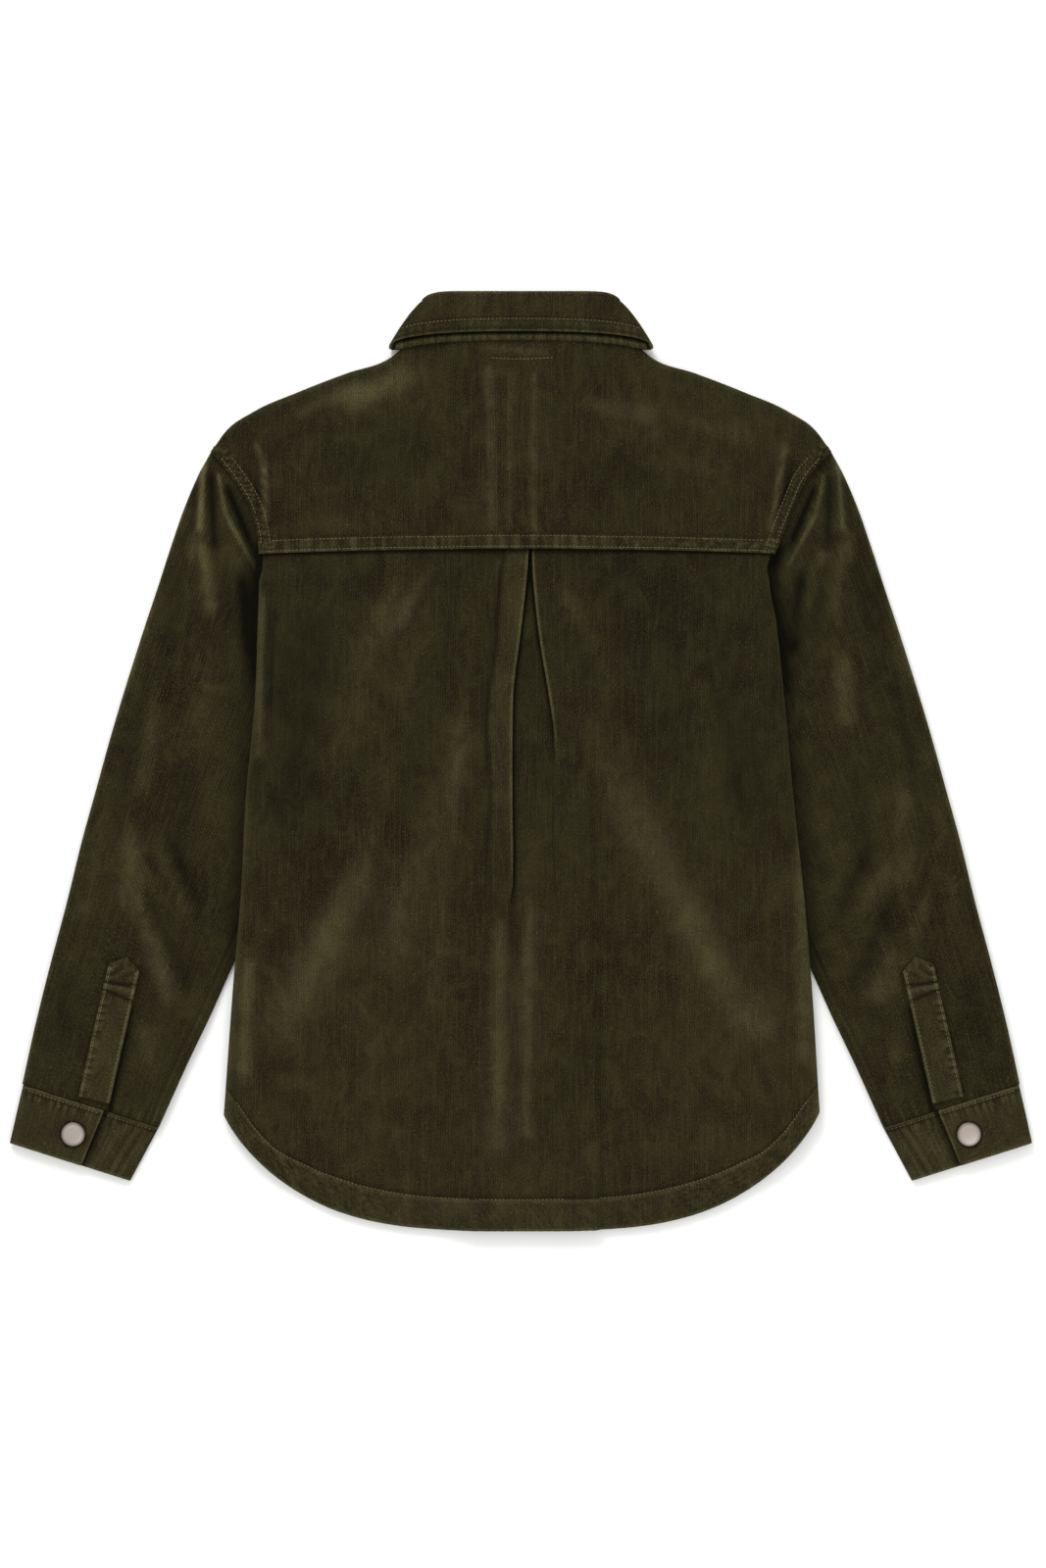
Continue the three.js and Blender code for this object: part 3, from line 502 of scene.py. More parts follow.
def sleeve(side, name):
    """Rings down the sleeve: each is flat below, rounded at both edges and lifted above, with ribs that
    follow the sleeve's length."""
    rows, count = 190, 150
    at = np.linspace(0, 13, rows)[:, None]
    row = {key: along(sleeve_rows, "at", key, at) for key in sleeve_rows if key != "at"}
    turn = np.arange(count)[None, :] * 2 * np.pi / count
    part = 0.5 - 0.5 * np.sign(np.cos(turn)) * np.abs(np.cos(turn)) ** 0.8
    rise = np.sin(turn)
    round_off = np.sqrt(1 - (1 - np.minimum(1, np.abs(rise) / 0.42)) ** 2)
    bend = np.maximum(row["bulge"], 0) * np.sin(np.pi * part ** 1.4) ** 2
    x = row["out_x"] + (row["in_x"] - row["out_x"]) * part + bend * 0.715
    y = row["out_y"] + (row["in_y"] - row["out_y"]) * part - bend * 0.699
    high = sleeve_top(x, y, row["puff"], side)
    centre = (high + CLOTH / 2) / 2
    z = centre + np.where(rise >= 0, high - centre, CLOTH / 2 - centre) * round_off
    width = np.hypot(row["in_x"] - row["out_x"], row["in_y"] - row["out_y"])
    ribs = joined(np.where(rise >= 0, part, -part) * SLEEVE_WIDTH, at * SLEEVE_PITCH)
    wear_and_painted_light = sleeve_painted_light_and_seam(x, y, part, width, side) * (rise > 0)
    piece = cloth(name, joined(side * x, y, z), CLOTH, [name], ribs=ribs, wear_and_painted_light=wear_and_painted_light, ring=True)
    return piece


sleeve_left = sleeve(-1, "sleeve_left")
sleeve_right = sleeve(1, "sleeve_right")

# The back panel: cut on the ribs, with an inverted pleat that turns under to both sides from the yoke seam
# and opens out half way down, a rolled side edge and a shirt-tail hem turned up 22 mm.
ROLL = 5
YOKE_SEAM_Y = 158.5
YOKE_SEAM_RISE = 4
YOKE_LAP = 5.5
PLEAT_REACH = 26  # the pleat's stacked layers end this far outside its fold edges
ROLL_STEPS = 14
hem_row = {
    "x": [0, 25, 85, 130, 165, 190, 204, 215, 227],
    "y": [-334.5, -334.3, -331.5, -322, -308.5, -294, -279, -263, -246],
}
back_folds = fold_table([
    (-88, 146, -134, 70, 13, 2.6), (-70, 125, -120, -75, 15, 3.2), (-118, -70, -180, -215, 17, 3),
    (-34, 130, -68, -195, 10, 2.4), (44, 140, 88, -10, 12, 2.8), (86, -5, 150, -175, 15, 3.2),
    (150, -170, 196, -226, 15, 2.2), (130, 90, 160, -60, 14, 1.8), (-196, 120, -202, 20, 8, 1.6),
    (10, -110, -2, -215, 9, 1.6),
])
# Bands of painted highlight (positive) and painted shade (negative) across the back, with no height
back_painted_light = fold_table([
    (-88, 146, -150, -10, 14, 0.22), (-40, 40, -104, -160, 16, 0.2), (-106, -60, -188, -215, 17, 0.17),
    (40, 60, 100, -90, 18, 0.24), (96, -70, 185, -215, 16, 0.17), (-16, -120, -18, -300, 6, 0.26),
    (6, -100, 4, -290, 4, 0.2), (-208, -150, -212, -246, 5, 0.4), (-196, 130, -200, 0, 3, 0.3),
    (-190, 120, -192, 40, 3, -0.35), (30, 140, 46, 96, 7, 0.24), (-70, 150, -98, 96, 6, 0.24),
    (212, -60, 216, -230, 5, 0.25), (-160, 120, -178, -60, 18, -0.2), (150, 60, 180, -60, 18, -0.18),
    (60, -200, 20, -280, 20, -0.15),
])
pleat_rows = {
    "y": [172, 155, 97, 53, 25, -20, -65, -95, -125, -160, -400],
    "left": [6, 5, -1, -6.4, -7, -7.2, -6.6, -6, -6, -8, -12],
    "right": [8.6, 9, 14.3, 21.4, 25.5, 26, 26, 26, 26, 28, 32],
    "depth": [20, 20, 17, 14, 12, 8, 4, 1, 0.5, 0, 0],
    "open": [0, 0, 0, 0, 0, 0, 0, 0.1, 0.6, 1, 1],
}


def seam_y(x):
    """The yoke seam's height: a shallow arch across the back."""
    return YOKE_SEAM_Y + YOKE_SEAM_RISE * (1 - np.minimum(1, (x / 200) ** 2))


def back_middle(x, y):
    """The middle of the back's cloth: above the fronts, looser at the centre and along the sides."""
    base = np.maximum(front_base(x, y, -1), front_base(x, y, 1) * (x > 0))
    centre = 2.1 * smooth((75 - np.abs(x)) / 35)
    side = np.where(x < 0, edge_at(y, -1), edge_at(y, 1))
    loft = 3 * smooth((np.abs(x) - side + 60) / 40) * smooth((170 - y) / 40)
    return base + CLOTH * 1.5 + LAYER_GAP + centre + loft * smooth((y - HEM_Y + 20) / 70)


def rolled(edge, y, side, height_at):
    """The roll at a side edge, as x and height: straight down from the panel with a round shoulder."""
    t = np.linspace(0, 1, ROLL_STEPS)[None, :]
    turn = np.clip((t - 0.3) / 0.7, 0, 1) * np.pi / 2
    x = edge - side * ROLL * (1 - np.cos(turn))
    top = height_at(edge - side * ROLL + 0 * t, y)
    low = front_base(edge, y, side) + CLOTH / 2
    drop = np.minimum(ROLL, (top - low) * 0.6)
    z = np.where(t < 0.3, low + (top - drop - low) * t / 0.3, top - drop * (1 - np.sin(turn)))
    return x, z


def above_hem_row(x, y):
    """The height above the hem's stitch row."""
    return y - along(hem_row, "x", "y", np.abs(x))


def hem_relief(x, y):
    """The turned-up hem: a groove at its stitch row and a full, gathered band below."""
    above = above_hem_row(x, y)
    groove = -0.6 * bell(above, 1.8)
    return groove + smooth(-above / 4) * (0.45 + 0.25 * gathers(x * 0.8 + above * 0.5))


def hem_painted_light_and_edge(x, y, hem):
    """The hem: a painted highlight just below its stitch row and painted shade just above it, a slightly
    paler band below the row with light and dark ticks painted for its gathers, and paler at its very edge.
    """
    above = above_hem_row(x, y)
    row = 0.4 * bell(above + 1.2, 1.1) - 0.4 * bell(above - 1.2, 1.6)
    drawn = 0.35 + 0.65 * smooth((np.abs(x) - 70) / 90)
    ticks = 0.16 * gathers(x * 0.8 + above * 0.6) + 0.14 * gathers(x * 1.9 - above)
    band = smooth(-above / 3) * (0.07 + drawn * ticks)
    edge = 0.45 * smooth((hem + 2.6 - y) / 2)
    return row + band + edge


def pleat_path(row, steps):
    """The pleat's section, as places across and layers, along both halves: over the fold edge, back under by
    its depth, round again and along the underlay, rounded at each turn."""
    fold = (CLOTH + 0.4) / 2
    under = row["depth"] + fold
    t = np.linspace(0, 1, steps)[None, :]
    stops = np.array([0, 0.12, 0.34, 0.41, 0.52, 0.59, 1])
    zero = 0 * under
    half_gap = (row["right"] - row["left"]) * 0.49
    places = [zero - PLEAT_REACH, zero - 14, zero - fold, zero - fold, -under, -under, half_gap]
    levels = [0, 1, 1, 0, 0, -1, -1]
    x = np.zeros((len(under), steps))
    z = np.zeros((len(under), steps))
    for k in range(len(stops) - 1):
        inside = (t >= stops[k]) & (t <= stops[k + 1] + 1e-9)
        q = (t - stops[k]) / (stops[k + 1] - stops[k])
        turning = levels[k] != levels[k + 1] and k > 0
        bulge = fold * np.sin(np.pi * q) * (1 if k == 2 else -1) if turning else 0
        drop = (1 - np.cos(np.pi * q)) / 2
        part_x = places[k] + (places[k + 1] - places[k]) * (drop if turning else q) + bulge
        part_z = levels[k] + (levels[k + 1] - levels[k]) * (smooth(q) if k == 0 else drop)
        x = np.where(inside, part_x, x)
        z = np.where(inside, part_z, z)
    left_x = row["left"] + x
    right_x = (row["right"] - x)[:, ::-1]
    path_x = np.hstack([left_x, right_x])
    path_z = np.hstack([z, z[:, ::-1]]) * 2 * fold
    even = np.linspace(0, 1, 2 * steps)[None, :]
    flat_x = row["left"] - PLEAT_REACH + (row["right"] - row["left"] + 2 * PLEAT_REACH) * even
    return path_x + (flat_x - path_x) * row["open"], path_z * (1 - row["open"])


def pleat_painted_light(row, x, y, level):
    """Painted highlights along both pressed fold edges and on the rolled band left of the opening, a line of
    painted shade at that band's outer edge, and painted shadow over the underlay, darkest beside the folds."""
    from_left = x - row["left"]
    from_right = row["right"] - x
    under = level < -0.4
    closed = 1 - row["open"]
    right_end = smooth((y + 10) / 60)
    dark = 0.04 - 1.2 * bell(from_left, 2.6) - 1.1 * right_end * bell(from_right, 2.8)
    dark = dark - 0.4 * smooth((y - 110) / 50)
    edge = 0.6 * bell(from_left + 0.6, 0.8) + 0.85 * right_end * bell(from_right + 0.6, 0.9)
    band = 0.3 * smooth((from_left + 19) / 4) * (from_left < 0.5) * smooth((y + 110) / 120)
    fold = -0.5 * bell(from_left + 18 + 1.5 * np.sin(y * 0.06), 1.6)
    return np.where(under, dark, edge + band + fold) * closed * smooth((y + 135) / 50)


def back_height(x, y):
    """The back panel's middle with its folds and the unevenness of cloth that lies loose."""
    return back_middle(x, y) + fold_height(back_folds, x, y) + 0.3 * uneven(x, y)


def back_panel():
    """Rows from the yoke to the hem, columns from the left roll over panel and pleat to the right roll."""
    v = np.concatenate([np.linspace(0, 0.93, 150), np.linspace(0.935, 1, 26)])[:, None]
    steps = 64
    side_y = YOKE_SEAM_Y + YOKE_LAP + (HEM_Y - YOKE_SEAM_Y - YOKE_LAP) * v

    def row_y(part):
        """The height at a part of the half width."""
        top = seam_y(part * HEM_SIDE) + YOKE_LAP
        return top + (hem_y(part) - top) * v

    middle_y = row_y(np.zeros_like(v))
    row = {key: along(pleat_rows, "y", key, middle_y) for key in ("left", "right")}
    for key in ("depth", "open"):
        row[key] = np.interp(middle_y, pleat_rows["y"][::-1], pleat_rows[key][::-1])
    halves = []
    for side in (-1, 1):
        tucked = 2.9 * smooth((side_y - YOKE_SEAM_Y + 20) / 12)
        edge = side * (edge_at(side_y, side) - CLOTH / 2 - tucked)
        roll_x, roll_z = rolled(edge, side_y, side, back_height)
        start = row["left"] - PLEAT_REACH if side < 0 else row["right"] + PLEAT_REACH
        t = np.linspace(1, 0, 54)[None, 1:-1]
        x = start + (edge - side * ROLL - start) * t
        y = row_y(x / HEM_SIDE)
        z = back_height(x, y) + hem_relief(x, y)
        piece_x = np.hstack([roll_x, x])
        piece_y = np.hstack([row_y(np.clip(roll_x / HEM_SIDE, -1, 1)), y])
        piece_z = np.hstack([roll_z, z])
        rib_x = np.hstack([roll_x + side * (roll_z[:, -1:] - roll_z), x])
        if side > 0:
            piece_x, piece_y, piece_z, rib_x = (a[:, ::-1] for a in (piece_x, piece_y, piece_z, rib_x))
        halves.append((piece_x, piece_y, piece_z, rib_x))
    pleat_x, pleat_z = pleat_path(row, steps)
    pleat_y = row_y(pleat_x / HEM_SIDE)
    near = smooth((np.abs(pleat_x - (row["left"] + row["right"]) / 2) - 10) / 20) + row["open"]
    lie = back_middle(0 * pleat_x, pleat_y)
    light_and_wear_values = pleat_painted_light(row, pleat_x, pleat_y, pleat_z)
    soft = (fold_height(back_folds, pleat_x, pleat_y) + 0.3 * uneven(pleat_x, pleat_y)) * np.minimum(near, 1)
    pleat_z = lie + pleat_z + soft + hem_relief(pleat_x, pleat_y)
    left, right = halves
    x, y, z, rib_x = (np.hstack([left[k], middle, right[k]]) for k, middle in
                      enumerate((pleat_x, pleat_y, pleat_z, pleat_x)))
    # The tone: painted highlights on the fold crests, painted sheen along the side edges, the hem's and the
    # pleat's painted light, painted shadow below the yoke's edge, the table's bands of painted highlight and
    # shade, and darker towards the yoke.
    crest = 0.22 * smooth(fold_height(back_folds, x, y) / 4)
    rim = 0.35 * smooth((np.abs(x) - np.where(x < 0, edge_at(y, -1), edge_at(y, 1)) + 7) / 6)
    hem = hem_painted_light_and_edge(x, y, hem_y(np.clip(x / HEM_SIDE, -1, 1)))
    painted_yoke_shadow = -0.75 * bell(y - seam_y(x) + 0.6, 1.4)
    upper = -0.25 * smooth((y + 230) / 300) + 0.03
    wear_and_painted_light = np.maximum(crest, rim) + hem + painted_yoke_shadow + upper + 1.3 * fold_height(back_painted_light, x, y)
    width = left[0].shape[1]
    wear_and_painted_light[:, width:width + light_and_wear_values.shape[1]] += light_and_wear_values
    return cloth("back_panel", joined(x, y, z), CLOTH, ["back_panel"],
                 ribs=joined(rib_x, y), wear_and_painted_light=wear_and_painted_light)


back = back_panel()

# The yoke: a shaped piece from the neck seam and the shoulders down to a double-stitched lap seam.
yoke_folds = fold_table([
    (-204, 244, -196, 226, 4, 2.4), (-196, 228, -195, 180, 4, 2.8), (203, 246, 190, 172, 4.5, 2.6),
    (-75, 297, -148, 262, 16, 2), (52, 258, 176, 208, 18, 2),
])
# Painted highlights (positive) on the yoke's folds, crests and pressed centre, and painted shade (negative)
# in its creases, with no height
yoke_painted_light = fold_table([
    (-24, 305, -22, 170, 5, 0.34), (-8, 300, -9, 175, 3, 0.28), (10, 300, 9, 168, 4, 0.32),
    (-30, 316, 24, 312, 4, 0.3), (-76, 300, -140, 270, 9, 0.42), (-120, 290, -176, 262, 6, 0.3),
    (40, 276, 110, 262, 9, 0.3), (120, 262, 180, 244, 8, 0.25), (-60, 236, -160, 226, 20, -0.2),
    (50, 220, 120, 226, 18, -0.15), (-204, 244, -196, 226, 1.8, 0.4), (-196, 228, -195, 182, 1.6, 0.5),
    (-201, 222, -200, 186, 2.4, -0.45), (202, 244, 190, 174, 1.8, 0.4), (206, 232, 196, 180, 2.4, -0.4),
    (-90, 182, -176, 180, 6, 0.12),
])
SEAM_ROWS = (1.6, 9.5)
ARM_BAND = 9.5


def edge_slope(y, side):
    """How much the half width grows for each millimetre up, over 8 mm."""
    return (edge_at(y + 4, side) - edge_at(y - 4, side)) / 8


def from_armhole(x, y):
    """The distance in from the armhole's edge, square to it; far away below the yoke seam's ends."""
    edge = np.where(x < 0, edge_at(y, -1), edge_at(y, 1))
    slope = np.where(x < 0, edge_slope(y, -1), edge_slope(y, 1))
    return (edge - np.abs(x)) / np.sqrt(1 + slope ** 2)


def yoke_height(x, y):
    """The yoke's middle: over the back panel and its pleat at the seam, with grooves at both stitch rows."""
    over_back = 2.3 * smooth((seam_y(x) + YOKE_LAP + 7 - y) / 5)
    over_pleat = 3 * smooth((62 - np.abs(x - 7)) / 26) * smooth((YOKE_SEAM_Y + 50 - y) / 50)
    above = y - seam_y(x)
    groove = sum(-0.45 * bell(above - row, 1.1) for row in SEAM_ROWS)
    pucker = 0.18 * np.sin(x * 0.8 + 1.5 * np.sin(x * 0.21)) * smooth((12 - above) / 3)
    inset = from_armhole(x, y)
    band = 0.5 * smooth((ARM_BAND - inset) / 1.5) * (1 + 0.5 * np.sin(y * 0.9 + 2 * np.sin(y * 0.23)))
    arm_groove = -0.5 * bell(inset - ARM_BAND - 0.8, 1.1)
    return (back_middle(x, y) + 0.2 + over_back + over_pleat + fold_height(yoke_folds, x, y)
            + groove + pucker + band + arm_groove + 0.3 * uneven(x, y))


def yoke():
    """Rows from the seam up to neck and shoulders, rolled down over the shoulders and at the armholes."""
    v = np.concatenate([np.linspace(0, 0.1, 22), np.linspace(0.11, 0.96, 62), np.linspace(0.965, 1, 14)])
    v = v[:, None]
    side_y = YOKE_SEAM_Y + (SHOULDER_Y - YOKE_SEAM_Y) * v
    parts = []
    for side in (-1, 1):
        edge = side * (edge_at(side_y, side) - CLOTH / 2 + 0.2)
        roll_x, roll_z = rolled(edge, side_y, side, yoke_height)
        t = np.linspace(1, 0, 66 if side < 0 else 65)[None, 1:]
        x = t * (edge - side * ROLL)
        all_x = np.hstack([roll_x, x])
        top = shoulder_y(all_x * (SHOULDER_HALF + 1) / np.abs(edge)) - CLOTH / 2
        y = seam_y(all_x) + (top - seam_y(all_x)) * v
        z = np.hstack([roll_z, yoke_height(x, y[:, ROLL_STEPS:])])
        block = [all_x, y, z, np.hstack([roll_x + side * (roll_z[:, -1:] - roll_z), x])]
        parts.append(block if side < 0 else [a[:, ::-1][:, 1:] for a in block])
    x, y, z, rib = (np.hstack([parts[0][k], parts[1][k]]) for k in range(4))
    turn = np.clip((v - 0.965) / 0.035, 0, 1) * np.pi / 2
    low = front_base(x, y, 1) * (x > 0) + front_base(x, y, -1) * (x <= 0) + CLOTH / 2
    z = z + 1.1 * smooth((y - 320) / 3) * smooth((78 - np.abs(x)) / 10)
    on_shoulder = smooth((np.abs(x) - 88) / 12)
    drop = (1 - np.cos(turn)) * on_shoulder
    z = z + (np.minimum(z, low) - z) * drop
    # The tone: painted highlights on the fold crests and the table's painted highlights and shade, paler
    # along the seam's edge, painted sheen where the cloth turns down over the shoulders, light and dark ticks
    # painted for the puckers in the seam band and armhole band, and painted shade in the grooves inside the
    # armhole band and above the upper stitch row.
    wear_and_painted_light = 0.3 * smooth(fold_height(yoke_folds, x, y) / 4)
    seam_edge = 0.38 * bell(y - seam_y(x), 0.8)
    ticks = 0.14 + 0.22 * gathers(x * 1.1) + 0.22 * gathers(x * 2.7)
    band = smooth((SEAM_ROWS[1] + 1.5 - y + seam_y(x)) / 1.5) * ticks
    wear_and_painted_light = np.maximum(np.maximum(wear_and_painted_light, seam_edge), 0.3 * drop) + band + fold_height(yoke_painted_light, x, y) - 0.12
    inset = from_armhole(x, y)
    ticks = 0.08 + 0.4 * gathers(y * 1.5 + x * 0.3) + 0.4 * gathers(x * 2.4 - y)
    wear_and_painted_light += smooth((ARM_BAND - inset) / 1.5) * ticks
    wear_and_painted_light -= 0.5 * bell(inset - ARM_BAND - 1, 0.9)
    wear_and_painted_light -= 0.25 * bell(y - seam_y(x) - SEAM_ROWS[1] - 2, 1.2)
    return cloth("back_yoke", joined(x, y, z), CLOTH, ["back_yoke"],
                 ribs=joined(rib, y), wear_and_painted_light=wear_and_painted_light)


back_yoke = yoke()

# The sleeve plackets: a folded strip with a pointed top over each sleeve's slit, stitched down all round.
PLACKET_CLEAR = 1.1


def sleeve_placket(side, name):
    """Rows down the strip and columns across it, the first row drawn up to a point, laid on the sleeve."""
    way = placket_end - placket_top
    length = np.hypot(*way)
    way = way / length
    t = np.concatenate([[-0.1], np.linspace(0, 0.97, 70)])
    t, across = np.meshgrid(t, np.linspace(-1, 1, 22), indexing="ij")
    pointed = np.where(t < 0, 1 - np.abs(across), 0)
    run = np.maximum(t, 0) * length - pointed * SLEEVE_PLACKET_HALF * 0.75 - 0.5 * (t < 0)
    x = placket_top[0] + way[0] * run + way[1] * across * SLEEVE_PLACKET_HALF
    y = placket_top[1] + way[1] * run - way[0] * across * SLEEVE_PLACKET_HALF
    inner, outer = smooth((across - 0.82) / 0.12), smooth((-across - 0.35) / 0.4)
    ticks = gathers(run * 0.75 + 1.5 * across)
    first = bell(run - 12 + 1.6 * across, 1.1)
    second = bell(run - 21 - 2.2 * across, 1.2)
    gable = bell(run + 9 * (1 - np.abs(across)) - 3.4, 0.9) * (run < 8)
    relief = -0.7 * (first + second) - 0.3 * gable + 0.22 * ticks * outer
    z = sleeve_top(x, y, SLEEVE_PUFF, side) + CLOTH + PLACKET_CLEAR + relief
    # The tone: painted highlights on the inner and outer edges and between the two cross grooves, painted
    # shade in those grooves, paler along the point's stitch line, and light and dark ticks painted for the
    # puckers.
    wear_and_painted_light = 0.1 + 0.7 * inner + 0.4 * ticks * outer - 0.85 * (first + second) + 0.5 * gable
    wear_and_painted_light = wear_and_painted_light + 0.4 * bell(run - 15.5, 1.2) + 0.45 * smooth((-across - 0.85) / 0.1)
    wear_and_painted_light = wear_and_painted_light + 0.2 * gathers(across * 5 + run * 0.4) * smooth((10 - run) / 4)
    ribs = joined(across * SLEEVE_PLACKET_HALF + 7, run)
    piece = cloth(name, joined(side * x, y, z), CLOTH, [name], ribs=ribs, wear_and_painted_light=wear_and_painted_light)
    return piece


sleeve_placket(-1, "sleeve_placket_left")
sleeve_placket(1, "sleeve_placket_right")

# The cuffs: a double band with interlining that runs round the wrist, lapped over itself and snapped.
CUFF_CLOTH = 2.2
CUFF_DEPTH = 46
CUFF_TAPER = 0.115
CUFF_PIVOT = 0.3
SNAP_RADIUS = 9.2
SNAP_ACROSS = 0.455
SNAP_DOWN = 0.54
cuff_out = np.array([380.2, -246.4])
cuff_in = np.array([277.2, -279.0])
cuff_width = np.hypot(*(cuff_in - cuff_out))
cuff_across = (cuff_in - cuff_out) / cuff_width
cuff_down = np.array([-cuff_across[1], cuff_across[0]])
CUFF_LAYER = CUFF_CLOTH + 0.4
CUFF_LOW = CUFF_CLOTH / 2
CUFF_INNER = CUFF_LOW + CUFF_LAYER
CUFF_OUTER = CUFF_LOW + 2 * CUFF_LAYER
CUFF_CROWN = 0.5
cuff_path = {
    "across": [0.42 * cuff_width, 0.7 * cuff_width, cuff_width - 5, cuff_width - 1.6, cuff_width - 0.5,
               cuff_width - 1.8, cuff_width - 5, 0.5 * cuff_width, 5, 2.2, 1.1, 1.1, 2.6, 8, 0.3 * cuff_width,
               0.5 * cuff_width, 0.6 * cuff_width],
    "z": [CUFF_INNER, CUFF_INNER + 0.6, CUFF_INNER + 0.4, CUFF_INNER - 0.4, (CUFF_INNER + CUFF_LOW) / 2,
          CUFF_LOW + 0.35, CUFF_LOW, CUFF_LOW, CUFF_LOW, CUFF_LOW + 0.5, CUFF_LOW + 2, CUFF_OUTER - 1.6,
          CUFF_OUTER - 0.3, CUFF_OUTER + 0.3, CUFF_OUTER + CUFF_CROWN, CUFF_OUTER + 0.2, CUFF_OUTER],
}


def cuff_place(across, down, side):
    """A place on the cuff as x and y, from distances across and down it, with its lower edge drawn in."""
    t = down / CUFF_DEPTH
    drawn = across + (CUFF_PIVOT * cuff_width - across) * CUFF_TAPER * t
    x = cuff_out[0] + cuff_across[0] * drawn + cuff_down[0] * down
    y = cuff_out[1] + cuff_across[1] * drawn + cuff_down[1] * down
    return side * x, y


def cuff(side, name):
    """The band's section carried down the cuff, with soft edges and a seam ridge and stitch groove at its
    top."""
    stops = np.array(cuff_path["across"])
    heights = np.array(cuff_path["z"])
    arc = np.concatenate([[0], np.cumsum(np.hypot(np.diff(stops), np.diff(heights)))])
    even = np.unique(np.concatenate([np.linspace(0, arc[-1], 130), arc]))[None, :]
    table = {"arc": arc, "across": stops, "z": heights}
    across = np.interp(even, arc, stops)
    z = np.interp(even, arc, heights)
    down = np.linspace(SEAM_GAP + 0.2, CUFF_DEPTH, 56)[:, None]
    x, y = cuff_place(across + 0 * down, down, side)
    top_layer = (even > arc[11]) * 1.0
    groove = -0.45 * bell(down - 3.6, 1.0) + 0.25 * gathers(across * 0.8) * bell(down - 6, 5)
    z = z + groove * (top_layer + (even < arc[2])) + 0.16 * uneven(x, y, 1.6) * top_layer
    # The tone: a painted highlight on the lapped end's edge, paler at the lower edge and the top seam,
    # painted shade just below the stitch groove, painted shadow on the under layer beside the lapped end,
    # light and dark ticks painted for the gathers and tucks, and a painted shade ring round the snap.
    end = 0.75 * smooth((across - 0.585 * cuff_width) / 1.5) * top_layer + 0 * down
    under = (even < arc[2]) * (across > 0.6 * cuff_width)
    tucks = 0.2 * gathers(across * 0.55 + 0.05 * down) * under * smooth((down - 4) / 6)
    shadow = -0.85 * under * bell(across - 0.61 * cuff_width, 2.6)
    hem_line = 0.55 * bell(down - CUFF_DEPTH, 1.6)
    seam = 0.5 * bell(down - 1.2, 1.2) - 0.4 * bell(down - 4.6, 1.0)
    ticks = 0.3 * gathers(across * 0.8) * bell(down - 7, 5)
    ring = np.hypot(across - SNAP_ACROSS * cuff_width, down - SNAP_DOWN * CUFF_DEPTH)
    painted_snap_shade = -0.5 * bell(ring - SNAP_RADIUS - 0.6, 1.1) * top_layer
    wear_and_painted_light = 0.14 + np.maximum(end, hem_line) + seam + tucks + shadow + ticks + painted_snap_shade
    ribs = joined(even + 0 * down, down + 0 * even)
    piece = cloth(name, joined(x, y, z), CUFF_CLOTH, [name], ribs=ribs, wear_and_painted_light=wear_and_painted_light + 0 * x)
    return piece


cuff(-1, "cuff_left")
cuff(1, "cuff_right")

# The collar: a stand round the neck and a fall that rolls over its top edge and lies outside it.
COLLAR_CLOTH = 2.2
STAND_CLOTH = 2.0
STAND_FOOT_Y = NECK_Y - 0.7
STAND_HEIGHT = 28.7
STAND_TOP_HALF = 72
STAND_FRONT_DROP = 12
CORNER_DROP = 5  # the collar's top corners are rounded by this much
FALL_FLARE = 25  # the fall's outer edge is this much wider to each side than the stand's top
FALL_EDGE_Y = 315
FALL_ARCH = 13
FALL_POINT_DROP = 100
FALL_ROW = 9.5
COLLAR_OPENING = 0.2  # turn left open to each side of the centre front
COLLAR_FRONT_Z = 4.1
COLLAR_BACK_Z = float(back_middle(np.float64(0), np.float64(NECK_Y))) + 0.6


def collar_ring(turn, half_width, off):
    """A flattened loop round the neck as x, height and how far round to the front and the back it is."""
    across = np.sin(turn)
    x = (half_width + off) * np.sign(across) * np.abs(across) ** 0.8
    level = -np.cos(turn)
    round_off = np.sqrt(1 - (1 - np.minimum(1, np.abs(level) / 0.3)) ** 2)
    z = (COLLAR_FRONT_Z + COLLAR_BACK_Z) / 2 + np.sign(level) * round_off * (
        (COLLAR_BACK_Z - COLLAR_FRONT_Z) / 2 + off)
    return x, z, np.maximum(0, -level), np.maximum(0, level)


collar_turns = np.linspace(COLLAR_OPENING, 2 * np.pi - COLLAR_OPENING, 221)[None, :]
corner = CORNER_DROP * np.abs(np.sin(collar_turns)) ** 10


def collar_stand():
    """The stand from the neck seam to its top edge, all round the neck."""
    v = np.linspace(0, 1, 16)[:, None]
    x, z, front, _ = collar_ring(collar_turns, NECK_HALF + (STAND_TOP_HALF - NECK_HALF) * v, 0)
    neck = STAND_FOOT_Y - FRONT_NECK_DROP * front ** 1.3
    y = neck + (STAND_HEIGHT - STAND_FRONT_DROP * front ** 0.3 - corner) * v
    return cloth("collar_stand", joined(x, y, z), STAND_CLOTH, ["collar_stand"])


stand = collar_stand()

fall_rows = {
    "at": [0, 1, 2, 3, 4, 5, 6, 7],
    "off": [0.7, 1.4, 1.4, 2.5, 2.8, 3.1, 3.1, 2.9],
    "rise": [2, 2.8, 2.8, 1.8, 0, 0, 0, 0],
    "down": [0, 0, 0, 0, 0, 0.3, 0.65, 1],
}


def fall_half(down):
    """The fall's half width from its roll line, 0, to its outer edge, 1."""
    return STAND_TOP_HALF + FALL_FLARE * down ** 0.8


def fall_edge(back_part):
    """The height of the fall's outer edge at the back: an arch over how far round it is."""
    return FALL_EDGE_Y + FALL_ARCH * back_part ** 0.8


